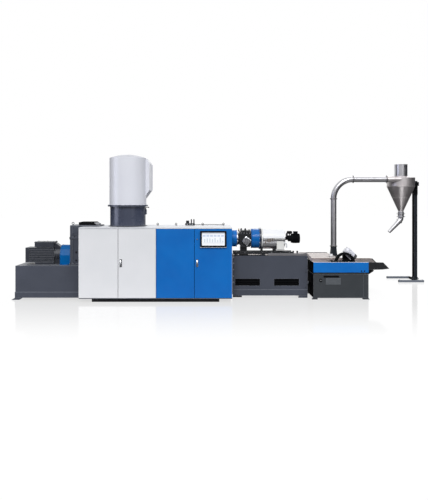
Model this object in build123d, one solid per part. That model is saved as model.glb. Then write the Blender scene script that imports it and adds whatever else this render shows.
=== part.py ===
from build123d import *
from math import asin, atan2, cos, degrees, hypot, radians, sin, tan
import os

# Plastic pelletizing line in millimetres, +Z up. X runs along the line from the main motor to the
# cyclone, Y runs away from the operator's side. The extruder's axis is Y = 0, and the origin is on
# the floor under the middle of the cabinet.

# Extruder axis, and how far below it the beds lie that carry the machines
AXIS_HEIGHT = 1435
BED_DROP = 623
PELLETIZER_DROP = 405

# Cabinet with four doors
DOOR_WIDTHS = (917, 884, 893, 876)
CABINET_FRONT = -800
CABINET_DEPTH = 1500
PLINTH_HEIGHT = 80
PLINTH_END_INSET = 295
PLINTH_SIDE_INSET = 60
FLOOR_THICKNESS = 14
ROOF_RISE = 303
ROOF_THICKNESS = 26
WALL_THICKNESS = 20
POST_WIDTH = 80
POST_DEPTH = 50
DOOR_THICKNESS = 30
DOOR_SEAM = 10
DOOR_END_GAP = 6
DOOR_BACK_GAP = 14
DOOR_ROUNDING = 2
PIVOT_SIDE_INSET = 20
PIVOT_FRONT_INSET = 10
PIVOT_RADIUS = 5
PIVOT_DEPTH = 20
PIVOT_SLACK = 0.3
PIVOT_END_PLAY = 1
ROUND_HOLE_GAP = 0.5
NOTCH_GAP = 5
BARREL_HOLE_GAP = 25

# Door handles, the lock of the control door and the touch panel
HANDLE_HEIGHT = 180
HANDLE_WIDTH = 50
HANDLE_DEPTH = 14
HANDLE_INSET = 35
HANDLE_LEVEL = 910
HANDLE_ROUNDING = 6
GRIP_LOW_MARGIN = 15
GRIP_HIGH_MARGIN = 30
LOCK_RADIUS = 14
LOCK_DROP = 270
PANEL_WIDTH = 614
PANEL_HEIGHT = 376
PANEL_DEPTH = 45
PANEL_DROP = 265
PANEL_RIM = 18
SCREEN_WIDTH = 530
SCREEN_HEIGHT = 298
SCREEN_DEPTH = 4
SCREEN_SETBACK = 2
PANEL_ROUNDING = 12
RIM_DEPTH = 1

# Bed, barrel and feed throat inside the cabinet
BEAM_WIDTH = 100
BEAM_HEIGHT = 150
BEAM_SPREAD = 400
BED_LEG_STATIONS = (-1650, -550, 550, 1650)
BARREL_RADIUS = 115
HEATER_RADIUS = 138
HEATER_LENGTH = 220
HEATER_COUNT = 6
SUPPORT_STATIONS = (-250, 650, 1500)
SUPPORT_THICKNESS = 40
SUPPORT_WIDTH = 420
THROAT_LENGTH = 300
THROAT_WIDTH = 210
THROAT_MARGIN = 40
HEATER_END_MARGIN = 120
SUPPORT_GAP = 0.5

# Compactor drum and its hood
DRUM_X = -758
DRUM_RADIUS = 432
DRUM_WALL = 8
DRUM_RISE = 205
DRUM_HEIGHT = 582
DRUM_FLANGE_RADIUS = 490
DRUM_FLANGE_HEIGHT = 34
DRUM_LATCH_LEVEL = 380
DRUM_LATCH_HEIGHT = 140
DRUM_LATCH_WIDTH = 90
DRUM_LATCH_PROUD = 30
DRUM_LATCH_ROUNDING = 25
HOOD_RADIUS = 450
HOOD_WALL = 4
HOOD_HEIGHT = 1154
HOOD_RISE = 84
SHEET_GAP = 0.3

# Feed chute: sheet steel that leaves the hood to the right and opens to the rear
CHUTE_REACH = 534
CHUTE_FRONT = -80
CHUTE_REAR = 560
CHUTE_HEIGHT = 1018
CHUTE_FOOT_INSET = 163
CHUTE_KNEE_INSET = 47
CHUTE_KNEE_RISE = 160
CHUTE_SIDE_RISE = 224
CHUTE_SIDE_DROP = 121
CHUTE_SHOULDER_INSET = 79
CHUTE_SHOULDER_DROP = 6

# Gearbox, coupling guard and main motor on the motor base
BASE_LENGTH = 1584
BASE_FRONT = -480
BASE_DEPTH = 800
BASE_CLEARANCE = 52
SKIRT_TOP = 188
SKIRT_PROUD = 10
FOOT_LENGTH = 180
FOOT_WIDTH = 90
FOOT_SETBACK = 330
SPLAYED_FOOT_REACH = 88
SPLAYED_FOOT_LENGTH = 188
GEARBOX_LEFT = -2113
GEARBOX_LENGTH = 713
GEARBOX_WIDTH = 600
GEARBOX_HEIGHT = 958
GEARBOX_ROUNDING = 25
GEARBOX_FLANGE_PROUD = 12
GEARBOX_FLANGE_HEIGHT = 40
BEARING_CAP_RADIUS = 60
BEARING_CAP_LENGTH = 14
BEARING_CAP_RISE = 25
GEARBOX_EYE_INSET = 50
GEARBOX_EYE_Y = -200
GEARBOX_EYE = (14, 20, 26, 8)
GEARBOX_COVER_INSET = 208
GEARBOX_COVER_LENGTH = 431
GEARBOX_COVER_SIDE = 40
GEARBOX_COVER_HEIGHT = 70
GEARBOX_COVER_SLOPE = 86
GEARBOX_COVER_END_HEIGHT = 20
GUARD_LENGTH = 247
GUARD_RADIUS = 245
GUARD_FACETS = 5
MOTOR_AXIS_RISE = 229
MOTOR_SIZE = 354
MOTOR_LENGTH = 691
MOTOR_COWL_LENGTH = 90
MOTOR_FIN_DEPTH = 18
MOTOR_FIN_THICKNESS = 12
MOTOR_FIN_COUNT = 9
MOTOR_FEET_INSET = 240
MOTOR_FEET_WIDTH = 380
END_SHIELD_LENGTH = 168
END_SHIELD_RADIUS = 155
END_SHIELD_FOOT = 240
TERMINAL_BOX_LENGTH = 481
TERMINAL_BOX_WIDTH = 300
TERMINAL_BOX_HEIGHT = 121
TERMINAL_BOX_RISE = 14
TERMINAL_BOX_ROUNDING = 20
TERMINAL_NECK_INSET = 60
CABLE_COVER_WIDTH = 180
CABLE_COVER_LEDGE = 30

# Extruder's outlet: guard, collar, screen changer and die
OUTLET_GUARD_LENGTH = 140
OUTLET_GUARD_RADIUS = 201
COLLAR_TAPER = 28
COLLAR_CLEARANCE = 0.3
COLLAR_LENGTH = 65
COLLAR_RADIUS = 165
CHANGER_LENGTH = 288
CHANGER_WIDTH = 360
CHANGER_HEIGHT = 400
SLIDE_BLOCK_SIZE = 176
SLIDE_BLOCK_DEPTH = 60
SLIDE_BLOCK_TILT = 38
SLIDE_BLOCK_SHIFT = 20
SLIDE_BLOCK_DROP = 52
SLIDE_BLOCK_ROUNDING = 40
CHANGER_CHAMFER = 45
CHANGER_CYLINDER_RADIUS = 26
CHANGER_CYLINDER_INSET = 30
PEDESTAL_LENGTH = 213
PEDESTAL_WIDTH = 260
PEDESTAL_FLANGE = 25
PEDESTAL_SHIFT = 6
DIE_LENGTH = 245
DIE_RADIUS = 238
DIE_FLANGE_RADIUS = 266
DIE_FLANGE_LENGTH = 45
DIE_ROUNDING = 45

# Cutter carriage and the rails that it slides on
CARRIAGE_GAP = 0.5
CARRIAGE_TRAVEL = 300
RUNNER_SLACK = 0.3
RUNNER_END_LENGTH = 20
CHAMBER_LENGTH = 565
CHAMBER_RADIUS = 252
CHAMBER_WALL = 40
CHAMBER_ROUNDING = 40
CHAMBER_RIM = 8
CHAMBER_RIM_LENGTH = 28
OUTLET_BOX_LENGTH = 173
OUTLET_BOX_WIDTH = 500
OUTLET_BOX_WALL = 10
OUTLET_BOX_DROP = 257
OUTLET_BOX_RISE = 12
OUTLET_BOX_END_MARGIN = 27
BORE_END_MARGIN = 20
LEG_THICKNESS = 50
LEG_GAP = 12
LEG_DROP = 150
RAIL_SPREAD = 340
RAIL_WIDTH = 40
RAIL_HEIGHT = 56
RAIL_RISER = 23
RAIL_START = 3
RAIL_END_MARGIN = 96
RISER_LENGTH = 80
RISER_END_INSET = 30
RUNNER_HEIGHT = 30
STOP_RADIUS = 18
STOP_HEIGHT = 75
STOP_OFFSETS = (27, 127)
CUTTER_MOTOR_RADIUS = 110
CUTTER_MOTOR_LENGTH = 210
CUTTER_MOTOR_ROUNDING = 18
CUTTER_NECK_RADIUS = 42
CUTTER_NECK_LENGTH = 176
CUTTER_SHIELD_LENGTH = 75
CUTTER_SHIELD_STEP = 35
HANDWHEEL_RADIUS = 50
HANDWHEEL_LENGTH = 40
HANDWHEEL_OFFSET = 55
HANDWHEEL_RISE = 82
SPINDLE_RADIUS = 12
KNOB_RADIUS = 58
KNOB_HEIGHT = 70
KNOB_RISE = 110
KNOB_ROUNDING = 14

# Pelletizer base
PELLETIZER_GAP = 42
PELLETIZER_BASE_LENGTH = 1813
PELLETIZER_BASE_FRONT = -200
PELLETIZER_BASE_DEPTH = 600
PELLETIZER_BASE_CLEARANCE = 56
TRAY_THICKNESS = 12
SLOT_LENGTH = 608
SLOT_HEIGHT = 170
SLOT_LEVEL = 380
SLOT_DEPTH = 60
SLOT_LEFT_INSET = 49
SLOT_PITCH = 949
PELLETIZER_SKIRT_TOP = 202
PELLETIZER_FOOT_LENGTH = 219
PELLETIZER_FOOT_SETBACK = 90
PELLETIZER_FOOT_SPLAY = 30
SLURRY_CHUTE_SPAN = (60, 300)
SLURRY_CHUTE_WALL = 6
SLURRY_CHUTE_SIDE = 20
SLURRY_CHUTE_DEPTH = 12
SLURRY_CHUTE_OVERHANG = 60
SLURRY_CHUTE_RUN = 30
RETURN_PIPE_Y = 250
RETURN_PIPE_LEVEL = 300
RETURN_PIPE_RADIUS = 45

# Water tank and vibrating sieve
TANK_GAP = 105
TANK_LENGTH = 1318
TANK_FRONT = -430
SIEVE_WIDTH = 940
TANK_CLEARANCE = 36
TANK_WALL = 8
REAR_TANK_LENGTH = 815
REAR_TANK_DEPTH = 1470
TANK_FOOT_LENGTHS = (100, 130)
TANK_FOOT_SPLAYS = (36, 29)
TANK_FOOT_WIDTH = 80
BOARD_DROP = 138
BOARD_HEIGHT = 246
BOARD_THICKNESS = 14
DECK_DROP = 132
DECK_THICKNESS = 8
DECK_END_THICKNESS = 12
DECK_BAR_WIDTH = 60
DECK_BAR_INSET = 90
MOUNT_HEIGHT = 34
MOUNT_WIDTH = 8
COVER_THICKNESS = 12
SPOUT_LENGTH = 344
SPOUT_LIP = 156
SPOUT_RISE = 60
SPOUT_SLOPE = 10
SPOUT_WALL = 6
SPOUT_FLOOR = 7
ARCH_OFFSET = 838
ARCH_DROP = 47
ARCH_RADIUS = 243
ARCH_BAND = 55
ARCH_WIDTH = 110
ARCH_BACK = 25
ARCH_BAR_WIDTH = 40
ARCH_BAR_HEIGHT = 30
SIEVE_MOTOR_RADIUS = 98
SIEVE_MOTOR_LENGTH = 330
SIEVE_MOTOR_TILT = 45
SIEVE_MOTOR_STEP = 14
SIEVE_MOTOR_FINS = 7
SIEVE_MOTOR_FIN_PITCH = 26
SIEVE_MOTOR_FIN_THICKNESS = 9
SIEVE_MOTOR_SHIFT = 163
SIEVE_MOTOR_RISE = 190
SIEVE_MOTOR_Y = 130
SIEVE_MOTOR_SEAT = (200, 140, 24)
SIEVE_BRACKET_WIDTH = 160
SIEVE_BRACKET_THICKNESS = 12
SEAT_GAP = 4

# Blower and conveying pipe
PIPE_OFFSET = 1020
PIPE_Y = 2100
PIPE_RADIUS = 81
PIPE_WALL = 3
PIPE_BEND = 555
PIPE_FLANGE_RADIUS = 102
PIPE_FLANGE_LENGTH = 16
BLOWER_RADIUS = 300
BLOWER_WIDTH = 190
DUCT_DROP = 182
BLOWER_MOTOR_RADIUS = 130
BLOWER_MOTOR_LENGTH = 380
TRANSITION_WIDTH = 190
TRANSITION_RISE = 370
TRANSITION_HEIGHT = 272
BLOWER_STAND_LENGTH = 440
BLOWER_STAND_DROP = 120
MOTOR_STAND_LENGTH = 300

# Cyclone, its outlet spout and its stand
CYCLONE_X = 6778
CYCLONE_Y = 2400
CYCLONE_RADIUS = 391
CYCLONE_WALL = 4
CYCLONE_TOP = 3061
SHOULDER_DROP = 43
CONE_DROP = 290
CONE_HEIGHT = 724
INLET_DROP = 93
INLET_LENGTH = 116
OUTLET_RADIUS = 68
EXHAUST_RADIUS = 183
EXHAUST_HEIGHT = 348
BEAD_COUNT = 6
BEAD_WIDTH = 8
BEAD_PROUD = 4
BEAD_END_MARGINS = (40, 20)
VALVE_FLANGE_RADIUS = 119
VALVE_FLANGE_THICKNESS = 16
VALVE_FLANGE_DROPS = (67, 148)
OUTLET_VALVE_RADIUS = 85
SPOUT_START_DROP = 165
SPOUT_CORNER_DROP = 228
SPOUT_RADIUS = 75
SPOUT_BEND = 120
SPOUT_REACH = 344
SPOUT_DROP = 366
SPOUT_TIP_RADIUS = 48
SPOUT_RING = 14
POST_SIZE_X = 91
POST_SIZE_Y = 180
POST_X = 7296
POST_Y = 2720
POST_DROP = 124
STAND_BAR = 60
STAND_FRONT_BAR = (6710, 7443)
STAND_REAR_BAR = (6617, 7320)
STAND_DEPTH = 800
ARM_RISE = 20
ARM_HEIGHT = 110
ARM_WIDTH_FRONT = 20
ARM_OVERLAP = 70
ARM_PLATE_THICKNESS = 30
ARM_PLATE_DROP = 240

# Lifting eyes and the air valve block on the cabinet's roof
FITTINGS_Y = 400
EYE_STATIONS = (-64, 403, 1077, 1605)
EYE_BASE_RADIUS = 22
EYE_BASE_HEIGHT = 16
EYE_RING_RADIUS = 22
EYE_RING_BAR = 7
VALVE_BLOCK_LEFT = 635
VALVE_BLOCK_LENGTH = 240
VALVE_BLOCK_DEPTH = 80
VALVE_BLOCK_HEIGHT = 52
VALVE_OFFSETS = (155, 220)
VALVE_HEIGHT = 88
VALVE_RADIUS = 16
COIL_OFFSET = 20
COIL_LENGTH = 80
COIL_DEPTH = 60
COIL_HEIGHT = 68


def block(x0, x1, y0, y1, z0, z1):
    """Box between two corners."""
    return Pos((x0 + x1) / 2, (y0 + y1) / 2, (z0 + z1) / 2) * Box(x1 - x0, y1 - y0, z1 - z0)


def rod_x(x0, x1, y, z, radius):
    """Round bar along X."""
    return Pos((x0 + x1) / 2, y, z) * Rot(0, 90, 0) * Cylinder(radius, x1 - x0)


def rod_y(x, y0, y1, z, radius):
    """Round bar along Y."""
    return Pos(x, (y0 + y1) / 2, z) * Rot(90, 0, 0) * Cylinder(radius, y1 - y0)


def rod_z(x, y, z0, z1, radius):
    """Round bar along Z."""
    return Pos(x, y, (z0 + z1) / 2) * Cylinder(radius, z1 - z0)


def prism_y(points, y0, y1):
    """Outline in X and Z carried along Y."""
    wire = Polyline(*[(x, y0, z) for x, z in points], close=True)
    return extrude(make_face(wire), amount=y1 - y0, dir=(0, 1, 0))


def prism_x(points, x0, x1):
    """Outline in Y and Z carried along X."""
    wire = Polyline(*[(x0, y, z) for y, z in points], close=True)
    return extrude(make_face(wire), amount=x1 - x0, dir=(1, 0, 0))


def turned_z(points, x, y):
    """Outline in radius and Z turned about a vertical axis."""
    wire = Polyline(*[(x + r, y, z) for r, z in points], close=True)
    return revolve(make_face(wire), axis=Axis((x, y, 0), (0, 0, 1)))


def turned_x(points, y, z):
    """Outline in X and radius turned about an axis along X."""
    wire = Polyline(*[(x, y, z + r) for x, r in points], close=True)
    return revolve(make_face(wire), axis=Axis((0, y, z), (1, 0, 0)))


def pipe_z(x, y, z0, z1, radius, wall):
    """Upright tube."""
    return rod_z(x, y, z0, z1, radius) - rod_z(x, y, z0, z1, radius - wall)


def pipe_x(x0, x1, y, z, radius, wall):
    """Level tube along X."""
    return rod_x(x0, x1, y, z, radius) - rod_x(x0, x1, y, z, radius - wall)


def eye_bolt(x, y, z, base_radius, base_height, ring_radius, bar):
    """Lifting eye: an upright ring on a round shank."""
    ring = Pos(x, y, z + base_height + ring_radius - bar / 2) * Rot(90, 0, 0) * Torus(ring_radius, bar)
    return rod_z(x, y, z, z + base_height, base_radius) + ring


# Places worked out from the sizes above
BED_TOP = AXIS_HEIGHT - BED_DROP
ROOF_TOP = AXIS_HEIGHT + ROOF_RISE
PANEL_LEVEL = ROOF_TOP - PANEL_DROP
LOCK_LEVEL = ROOF_TOP - LOCK_DROP
DRUM_BOTTOM = AXIS_HEIGHT + DRUM_RISE
DRUM_TOP = DRUM_BOTTOM + DRUM_HEIGHT
HOOD_BOTTOM = DRUM_TOP + DRUM_FLANGE_HEIGHT
HOOD_TOP = HOOD_BOTTOM + HOOD_HEIGHT
CHUTE_BOTTOM = HOOD_TOP - CHUTE_HEIGHT
GEARBOX_TOP = BED_TOP + GEARBOX_HEIGHT
MOTOR_AXIS_HEIGHT = BED_TOP + MOTOR_AXIS_RISE
PELLETIZER_BASE_TOP = AXIS_HEIGHT - PELLETIZER_DROP
BOARD_TOP = PELLETIZER_BASE_TOP - BOARD_DROP
BOARD_BOTTOM = BOARD_TOP - BOARD_HEIGHT
TANK_TOP = BOARD_BOTTOM - MOUNT_HEIGHT
DECK_LEVEL = BOARD_TOP - DECK_DROP
SPOUT_BOTTOM = BOARD_BOTTOM + SPOUT_RISE
ARCH_LEVEL = BOARD_TOP - ARCH_DROP
BLOWER_LEVEL = TANK_TOP - DUCT_DROP
TRANSITION_BOTTOM = BLOWER_LEVEL + TRANSITION_RISE
TRANSITION_TOP = TRANSITION_BOTTOM + TRANSITION_HEIGHT
CYCLONE_SHOULDER = CYCLONE_TOP - SHOULDER_DROP
CONE_TOP = CYCLONE_TOP - CONE_DROP
CONE_BOTTOM = CONE_TOP - CONE_HEIGHT
EXHAUST_TOP = CYCLONE_TOP + EXHAUST_HEIGHT
PIPE_LEVEL = CYCLONE_TOP - INLET_DROP
POST_TOP = CYCLONE_TOP - POST_DROP
SPOUT_START = CONE_BOTTOM - SPOUT_START_DROP
SPOUT_CORNER = CONE_BOTTOM - SPOUT_CORNER_DROP
SPOUT_TIP_LEVEL = SPOUT_CORNER - SPOUT_DROP
SPOUT_TIP_X = CYCLONE_X - SPOUT_REACH
CABINET_LENGTH = sum(DOOR_WIDTHS)
CABINET_LEFT = -CABINET_LENGTH / 2
CABINET_RIGHT = CABINET_LENGTH / 2
CABINET_BACK = CABINET_FRONT + CABINET_DEPTH
FLOOR_TOP = PLINTH_HEIGHT + FLOOR_THICKNESS
ROOF_UNDER = ROOF_TOP - ROOF_THICKNESS
DOOR_BOTTOM = FLOOR_TOP + DOOR_END_GAP
DOOR_TOP = ROOF_UNDER - DOOR_END_GAP
FRAME_FRONT = CABINET_FRONT + DOOR_THICKNESS + DOOR_BACK_GAP
SEAMS = [CABINET_LEFT + sum(DOOR_WIDTHS[:i]) for i in range(5)]
INNER_LEFT = CABINET_LEFT + WALL_THICKNESS
INNER_RIGHT = CABINET_RIGHT - WALL_THICKNESS
GEARBOX_RIGHT = GEARBOX_LEFT + GEARBOX_LENGTH
NOTCH_HALF_WIDTH = GEARBOX_WIDTH / 2 + NOTCH_GAP
CHANGER_LEFT = CABINET_RIGHT + OUTLET_GUARD_LENGTH + COLLAR_LENGTH
CHANGER_RIGHT = CHANGER_LEFT + CHANGER_LENGTH
DIE_RIGHT = CHANGER_RIGHT + DIE_LENGTH
TRAY_TOP = PELLETIZER_BASE_TOP + TRAY_THICKNESS
RAIL_TOP = TRAY_TOP + RAIL_RISER + RAIL_HEIGHT
CHAMBER_LEFT = DIE_RIGHT + CARRIAGE_GAP
CHAMBER_RIGHT = CHAMBER_LEFT + CHAMBER_LENGTH
BOX_LEFT = CHAMBER_RIGHT - OUTLET_BOX_END_MARGIN - OUTLET_BOX_LENGTH
LEG_RIGHT = BOX_LEFT - LEG_GAP
PELLETIZER_BASE_LEFT = CABINET_RIGHT + PELLETIZER_GAP
TANK_LEFT = PELLETIZER_BASE_LEFT + PELLETIZER_BASE_LENGTH + TANK_GAP
TANK_RIGHT = TANK_LEFT + TANK_LENGTH
ARCH_X = TANK_LEFT + ARCH_OFFSET
PIPE_X = TANK_LEFT + PIPE_OFFSET
TANK_BACK = TANK_FRONT + SIEVE_WIDTH
BLOWER_X = PIPE_X - TRANSITION_WIDTH / 2 + BLOWER_RADIUS
RISER_TOP = PIPE_LEVEL - PIPE_BEND


def door_span(index):
    """X of a door's left and right edges: half a seam off each neighbour, flush at the cabinet's ends."""
    left = SEAMS[index] + (DOOR_SEAM / 2 if index > 0 else 0)
    right = SEAMS[index + 1] - (DOOR_SEAM / 2 if index < 3 else 0)
    return left, right


def hinge_x(index):
    """X of a door's pivot: doors 0 and 2 turn at their left edge, doors 1 and 3 at their right edge."""
    left, right = door_span(index)
    return left + PIVOT_SIDE_INSET if index in (0, 2) else right - PIVOT_SIDE_INSET


def door(index):
    left, right = door_span(index)
    back = CABINET_FRONT + DOOR_THICKNESS
    panel = block(left, right, CABINET_FRONT, back, DOOR_BOTTOM, DOOR_TOP)
    panel = fillet(panel.edges().filter_by(Axis.Z).group_by(Axis.Y)[0], DOOR_ROUNDING)
    for level in (DOOR_BOTTOM, DOOR_TOP - PIVOT_DEPTH):
        panel -= rod_z(hinge_x(index), CABINET_FRONT + PIVOT_FRONT_INSET, level, level + PIVOT_DEPTH,
                       PIVOT_RADIUS + PIVOT_SLACK)
    return panel


def pivots(z0, z1):
    """One pivot pin for each door."""
    return [rod_z(hinge_x(i), CABINET_FRONT + PIVOT_FRONT_INSET, z0, z1, PIVOT_RADIUS) for i in range(4)]


def cabinet():
    nodes = {}
    nodes["cabinet_plinth"] = block(CABINET_LEFT + PLINTH_END_INSET, CABINET_RIGHT - PLINTH_END_INSET,
                                    CABINET_FRONT + PLINTH_SIDE_INSET, CABINET_BACK - PLINTH_SIDE_INSET,
                                    0, PLINTH_HEIGHT)
    floor = block(CABINET_LEFT, CABINET_RIGHT, CABINET_FRONT, CABINET_BACK, PLINTH_HEIGHT, FLOOR_TOP)
    for pin in pivots(FLOOR_TOP, DOOR_BOTTOM + PIVOT_DEPTH - PIVOT_END_PLAY):
        floor += pin
    nodes["cabinet_floor"] = floor
    roof = block(CABINET_LEFT, CABINET_RIGHT, CABINET_FRONT, CABINET_BACK, ROOF_UNDER, ROOF_TOP)
    roof -= rod_z(DRUM_X, 0, ROOF_UNDER, ROOF_TOP, DRUM_RADIUS + ROUND_HOLE_GAP)
    roof -= block(CABINET_LEFT, GEARBOX_RIGHT + NOTCH_GAP, -NOTCH_HALF_WIDTH, NOTCH_HALF_WIDTH, ROOF_UNDER,
                  ROOF_TOP)
    for pin in pivots(DOOR_TOP - PIVOT_DEPTH + PIVOT_END_PLAY, ROOF_UNDER):
        roof += pin
    nodes["cabinet_roof"] = roof
    left = block(CABINET_LEFT, INNER_LEFT, FRAME_FRONT, CABINET_BACK, FLOOR_TOP, ROOF_UNDER)
    left -= block(CABINET_LEFT, INNER_LEFT, -NOTCH_HALF_WIDTH, NOTCH_HALF_WIDTH, BED_TOP, ROOF_UNDER)
    nodes["cabinet_left_wall"] = left
    right = block(INNER_RIGHT, CABINET_RIGHT, FRAME_FRONT, CABINET_BACK, FLOOR_TOP, ROOF_UNDER)
    right -= rod_x(INNER_RIGHT, CABINET_RIGHT, 0, AXIS_HEIGHT, BARREL_RADIUS + BARREL_HOLE_GAP)
    nodes["cabinet_right_wall"] = right
    nodes["cabinet_back_wall"] = block(INNER_LEFT, INNER_RIGHT, CABINET_BACK - WALL_THICKNESS, CABINET_BACK,
                                       FLOOR_TOP, ROOF_UNDER)
    nodes["cabinet_centre_post"] = block(SEAMS[2] - POST_WIDTH / 2, SEAMS[2] + POST_WIDTH / 2, FRAME_FRONT,
                                         FRAME_FRONT + POST_DEPTH, FLOOR_TOP, ROOF_UNDER)
    names = ("white_door_left", "white_door_right", "blue_door_left", "blue_door_right")
    for index, name in enumerate(names):
        nodes[name] = door(index)
    return nodes


def handle(left):
    """Flush swing handle: a plate with a raised grip."""
    back = CABINET_FRONT
    z0 = HANDLE_LEVEL - HANDLE_HEIGHT / 2
    z1 = HANDLE_LEVEL + HANDLE_HEIGHT / 2
    plate = block(left, left + HANDLE_WIDTH, back - HANDLE_DEPTH / 2, back, z0, z1)
    plate = fillet(plate.edges().filter_by(Axis.Y), HANDLE_ROUNDING)
    grip = block(left + HANDLE_WIDTH / 4, left + 3 * HANDLE_WIDTH / 4, back - HANDLE_DEPTH,
                 back - HANDLE_DEPTH / 2, z0 + GRIP_LOW_MARGIN, z1 - GRIP_HIGH_MARGIN)
    return plate + grip


def door_fittings():
    nodes = {}
    nodes["white_door_handle"] = handle(door_span(1)[0] + HANDLE_INSET)
    blue_left = door_span(3)[0] + HANDLE_INSET
    nodes["blue_door_handle"] = handle(blue_left)
    lock_x = blue_left + HANDLE_WIDTH / 2
    nodes["control_door_lock"] = rod_y(lock_x, CABINET_FRONT - HANDLE_DEPTH, CABINET_FRONT, LOCK_LEVEL,
                                       LOCK_RADIUS)
    middle = sum(door_span(3)) / 2
    x0 = middle - PANEL_WIDTH / 2
    x1 = middle + PANEL_WIDTH / 2
    z0 = PANEL_LEVEL - PANEL_HEIGHT / 2
    z1 = PANEL_LEVEL + PANEL_HEIGHT / 2
    face = CABINET_FRONT - PANEL_DEPTH
    housing = block(x0, x1, face, CABINET_FRONT, z0, z1)
    housing = fillet(housing.edges().filter_by(Axis.Y), PANEL_ROUNDING)
    screen_x = SCREEN_WIDTH / 2
    screen_z = SCREEN_HEIGHT / 2
    recess = block(middle - screen_x, middle + screen_x, face, face + SCREEN_DEPTH,
                   PANEL_LEVEL - screen_z, PANEL_LEVEL + screen_z)
    rim = block(x0 + PANEL_RIM, x1 - PANEL_RIM, face, face + RIM_DEPTH, z0 + PANEL_RIM, z1 - PANEL_RIM)
    nodes["touch_panel_housing"] = housing - rim - recess
    nodes["touch_panel_screen"] = block(middle - screen_x, middle + screen_x, face + SCREEN_SETBACK,
                                        face + SCREEN_DEPTH, PANEL_LEVEL - screen_z,
                                        PANEL_LEVEL + screen_z)
    return nodes


def bed_and_barrel():
    nodes = {}
    half = BEAM_SPREAD / 2
    beam = BEAM_WIDTH / 2
    bed = []
    for side in (-1, 1):
        y = side * half
        bed.append(block(INNER_LEFT, INNER_RIGHT, y - beam, y + beam, BED_TOP - BEAM_HEIGHT, BED_TOP))
        for x in BED_LEG_STATIONS:
            bed.append(block(x - beam, x + beam, y - beam, y + beam, FLOOR_TOP, BED_TOP - BEAM_HEIGHT))
    for x in BED_LEG_STATIONS:
        bed.append(block(x - beam, x + beam, beam - half, half - beam, BED_TOP - BEAM_HEIGHT, BED_TOP))
    nodes["extruder_bed"] = Part() + bed
    barrel = rod_x(GEARBOX_RIGHT, CHANGER_LEFT, 0, AXIS_HEIGHT, BARREL_RADIUS)
    heated_from = DRUM_X + THROAT_LENGTH / 2 + THROAT_MARGIN
    pitch = (CABINET_RIGHT - HEATER_END_MARGIN - heated_from) / HEATER_COUNT
    for i in range(HEATER_COUNT):
        middle = heated_from + pitch * (i + 0.5)
        barrel += rod_x(middle - HEATER_LENGTH / 2, middle + HEATER_LENGTH / 2, 0, AXIS_HEIGHT, HEATER_RADIUS)
    nodes["extruder_barrel"] = barrel
    supports = []
    for x in SUPPORT_STATIONS:
        plate = block(x - SUPPORT_THICKNESS / 2, x + SUPPORT_THICKNESS / 2, -SUPPORT_WIDTH / 2,
                      SUPPORT_WIDTH / 2, BED_TOP, AXIS_HEIGHT)
        supports.append(plate - rod_x(x - SUPPORT_THICKNESS, x + SUPPORT_THICKNESS, 0, AXIS_HEIGHT,
                                      HEATER_RADIUS + SUPPORT_GAP))
    nodes["barrel_supports"] = Part() + supports
    throat = block(DRUM_X - THROAT_LENGTH / 2, DRUM_X + THROAT_LENGTH / 2, -THROAT_WIDTH / 2,
                   THROAT_WIDTH / 2, AXIS_HEIGHT, DRUM_BOTTOM)
    throat -= rod_x(DRUM_X - THROAT_LENGTH, DRUM_X + THROAT_LENGTH, 0, AXIS_HEIGHT, BARREL_RADIUS)
    nodes["feed_throat"] = throat
    return nodes


def chute_face(inset):
    """Side outline of the feed chute, moved inwards by a sheet thickness."""
    right = DRUM_X + CHUTE_REACH
    shoulder = right - CHUTE_SHOULDER_INSET
    points = [(DRUM_X, CHUTE_BOTTOM), (right - CHUTE_FOOT_INSET, CHUTE_BOTTOM),
              (right - CHUTE_KNEE_INSET, CHUTE_BOTTOM + CHUTE_KNEE_RISE),
              (right, CHUTE_BOTTOM + CHUTE_SIDE_RISE),
              (right, HOOD_TOP - CHUTE_SIDE_DROP), (shoulder, HOOD_TOP - CHUTE_SHOULDER_DROP),
              (DRUM_X + HOOD_RADIUS, HOOD_TOP), (DRUM_X, HOOD_TOP)]
    face = make_face(Polyline(*[(x, CHUTE_FRONT + inset, z) for x, z in points], close=True))
    return offset(face, amount=-inset) if inset else face


def dome_z(radius, rise, wall, x, y, z):
    """Dished sheet on a round rim: an arc turned about a vertical axis."""
    ball = (radius**2 + rise**2) / (2 * rise)
    centre = z + rise - ball
    half = asin(radius / ball) / 2
    middle = (x + ball * sin(half), y, centre + ball * cos(half))
    arc = ThreePointArc((x + radius, y, z), middle, (x, y, z + rise))
    sides = Polyline((x, y, z + rise), (x, y, z), (x + radius, y, z))
    solid = revolve(make_face([*arc.edges(), *sides.edges()]), axis=Axis((x, y, 0), (0, 0, 1)))
    return solid - Pos(x, y, centre) * Sphere(ball - wall)


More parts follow.
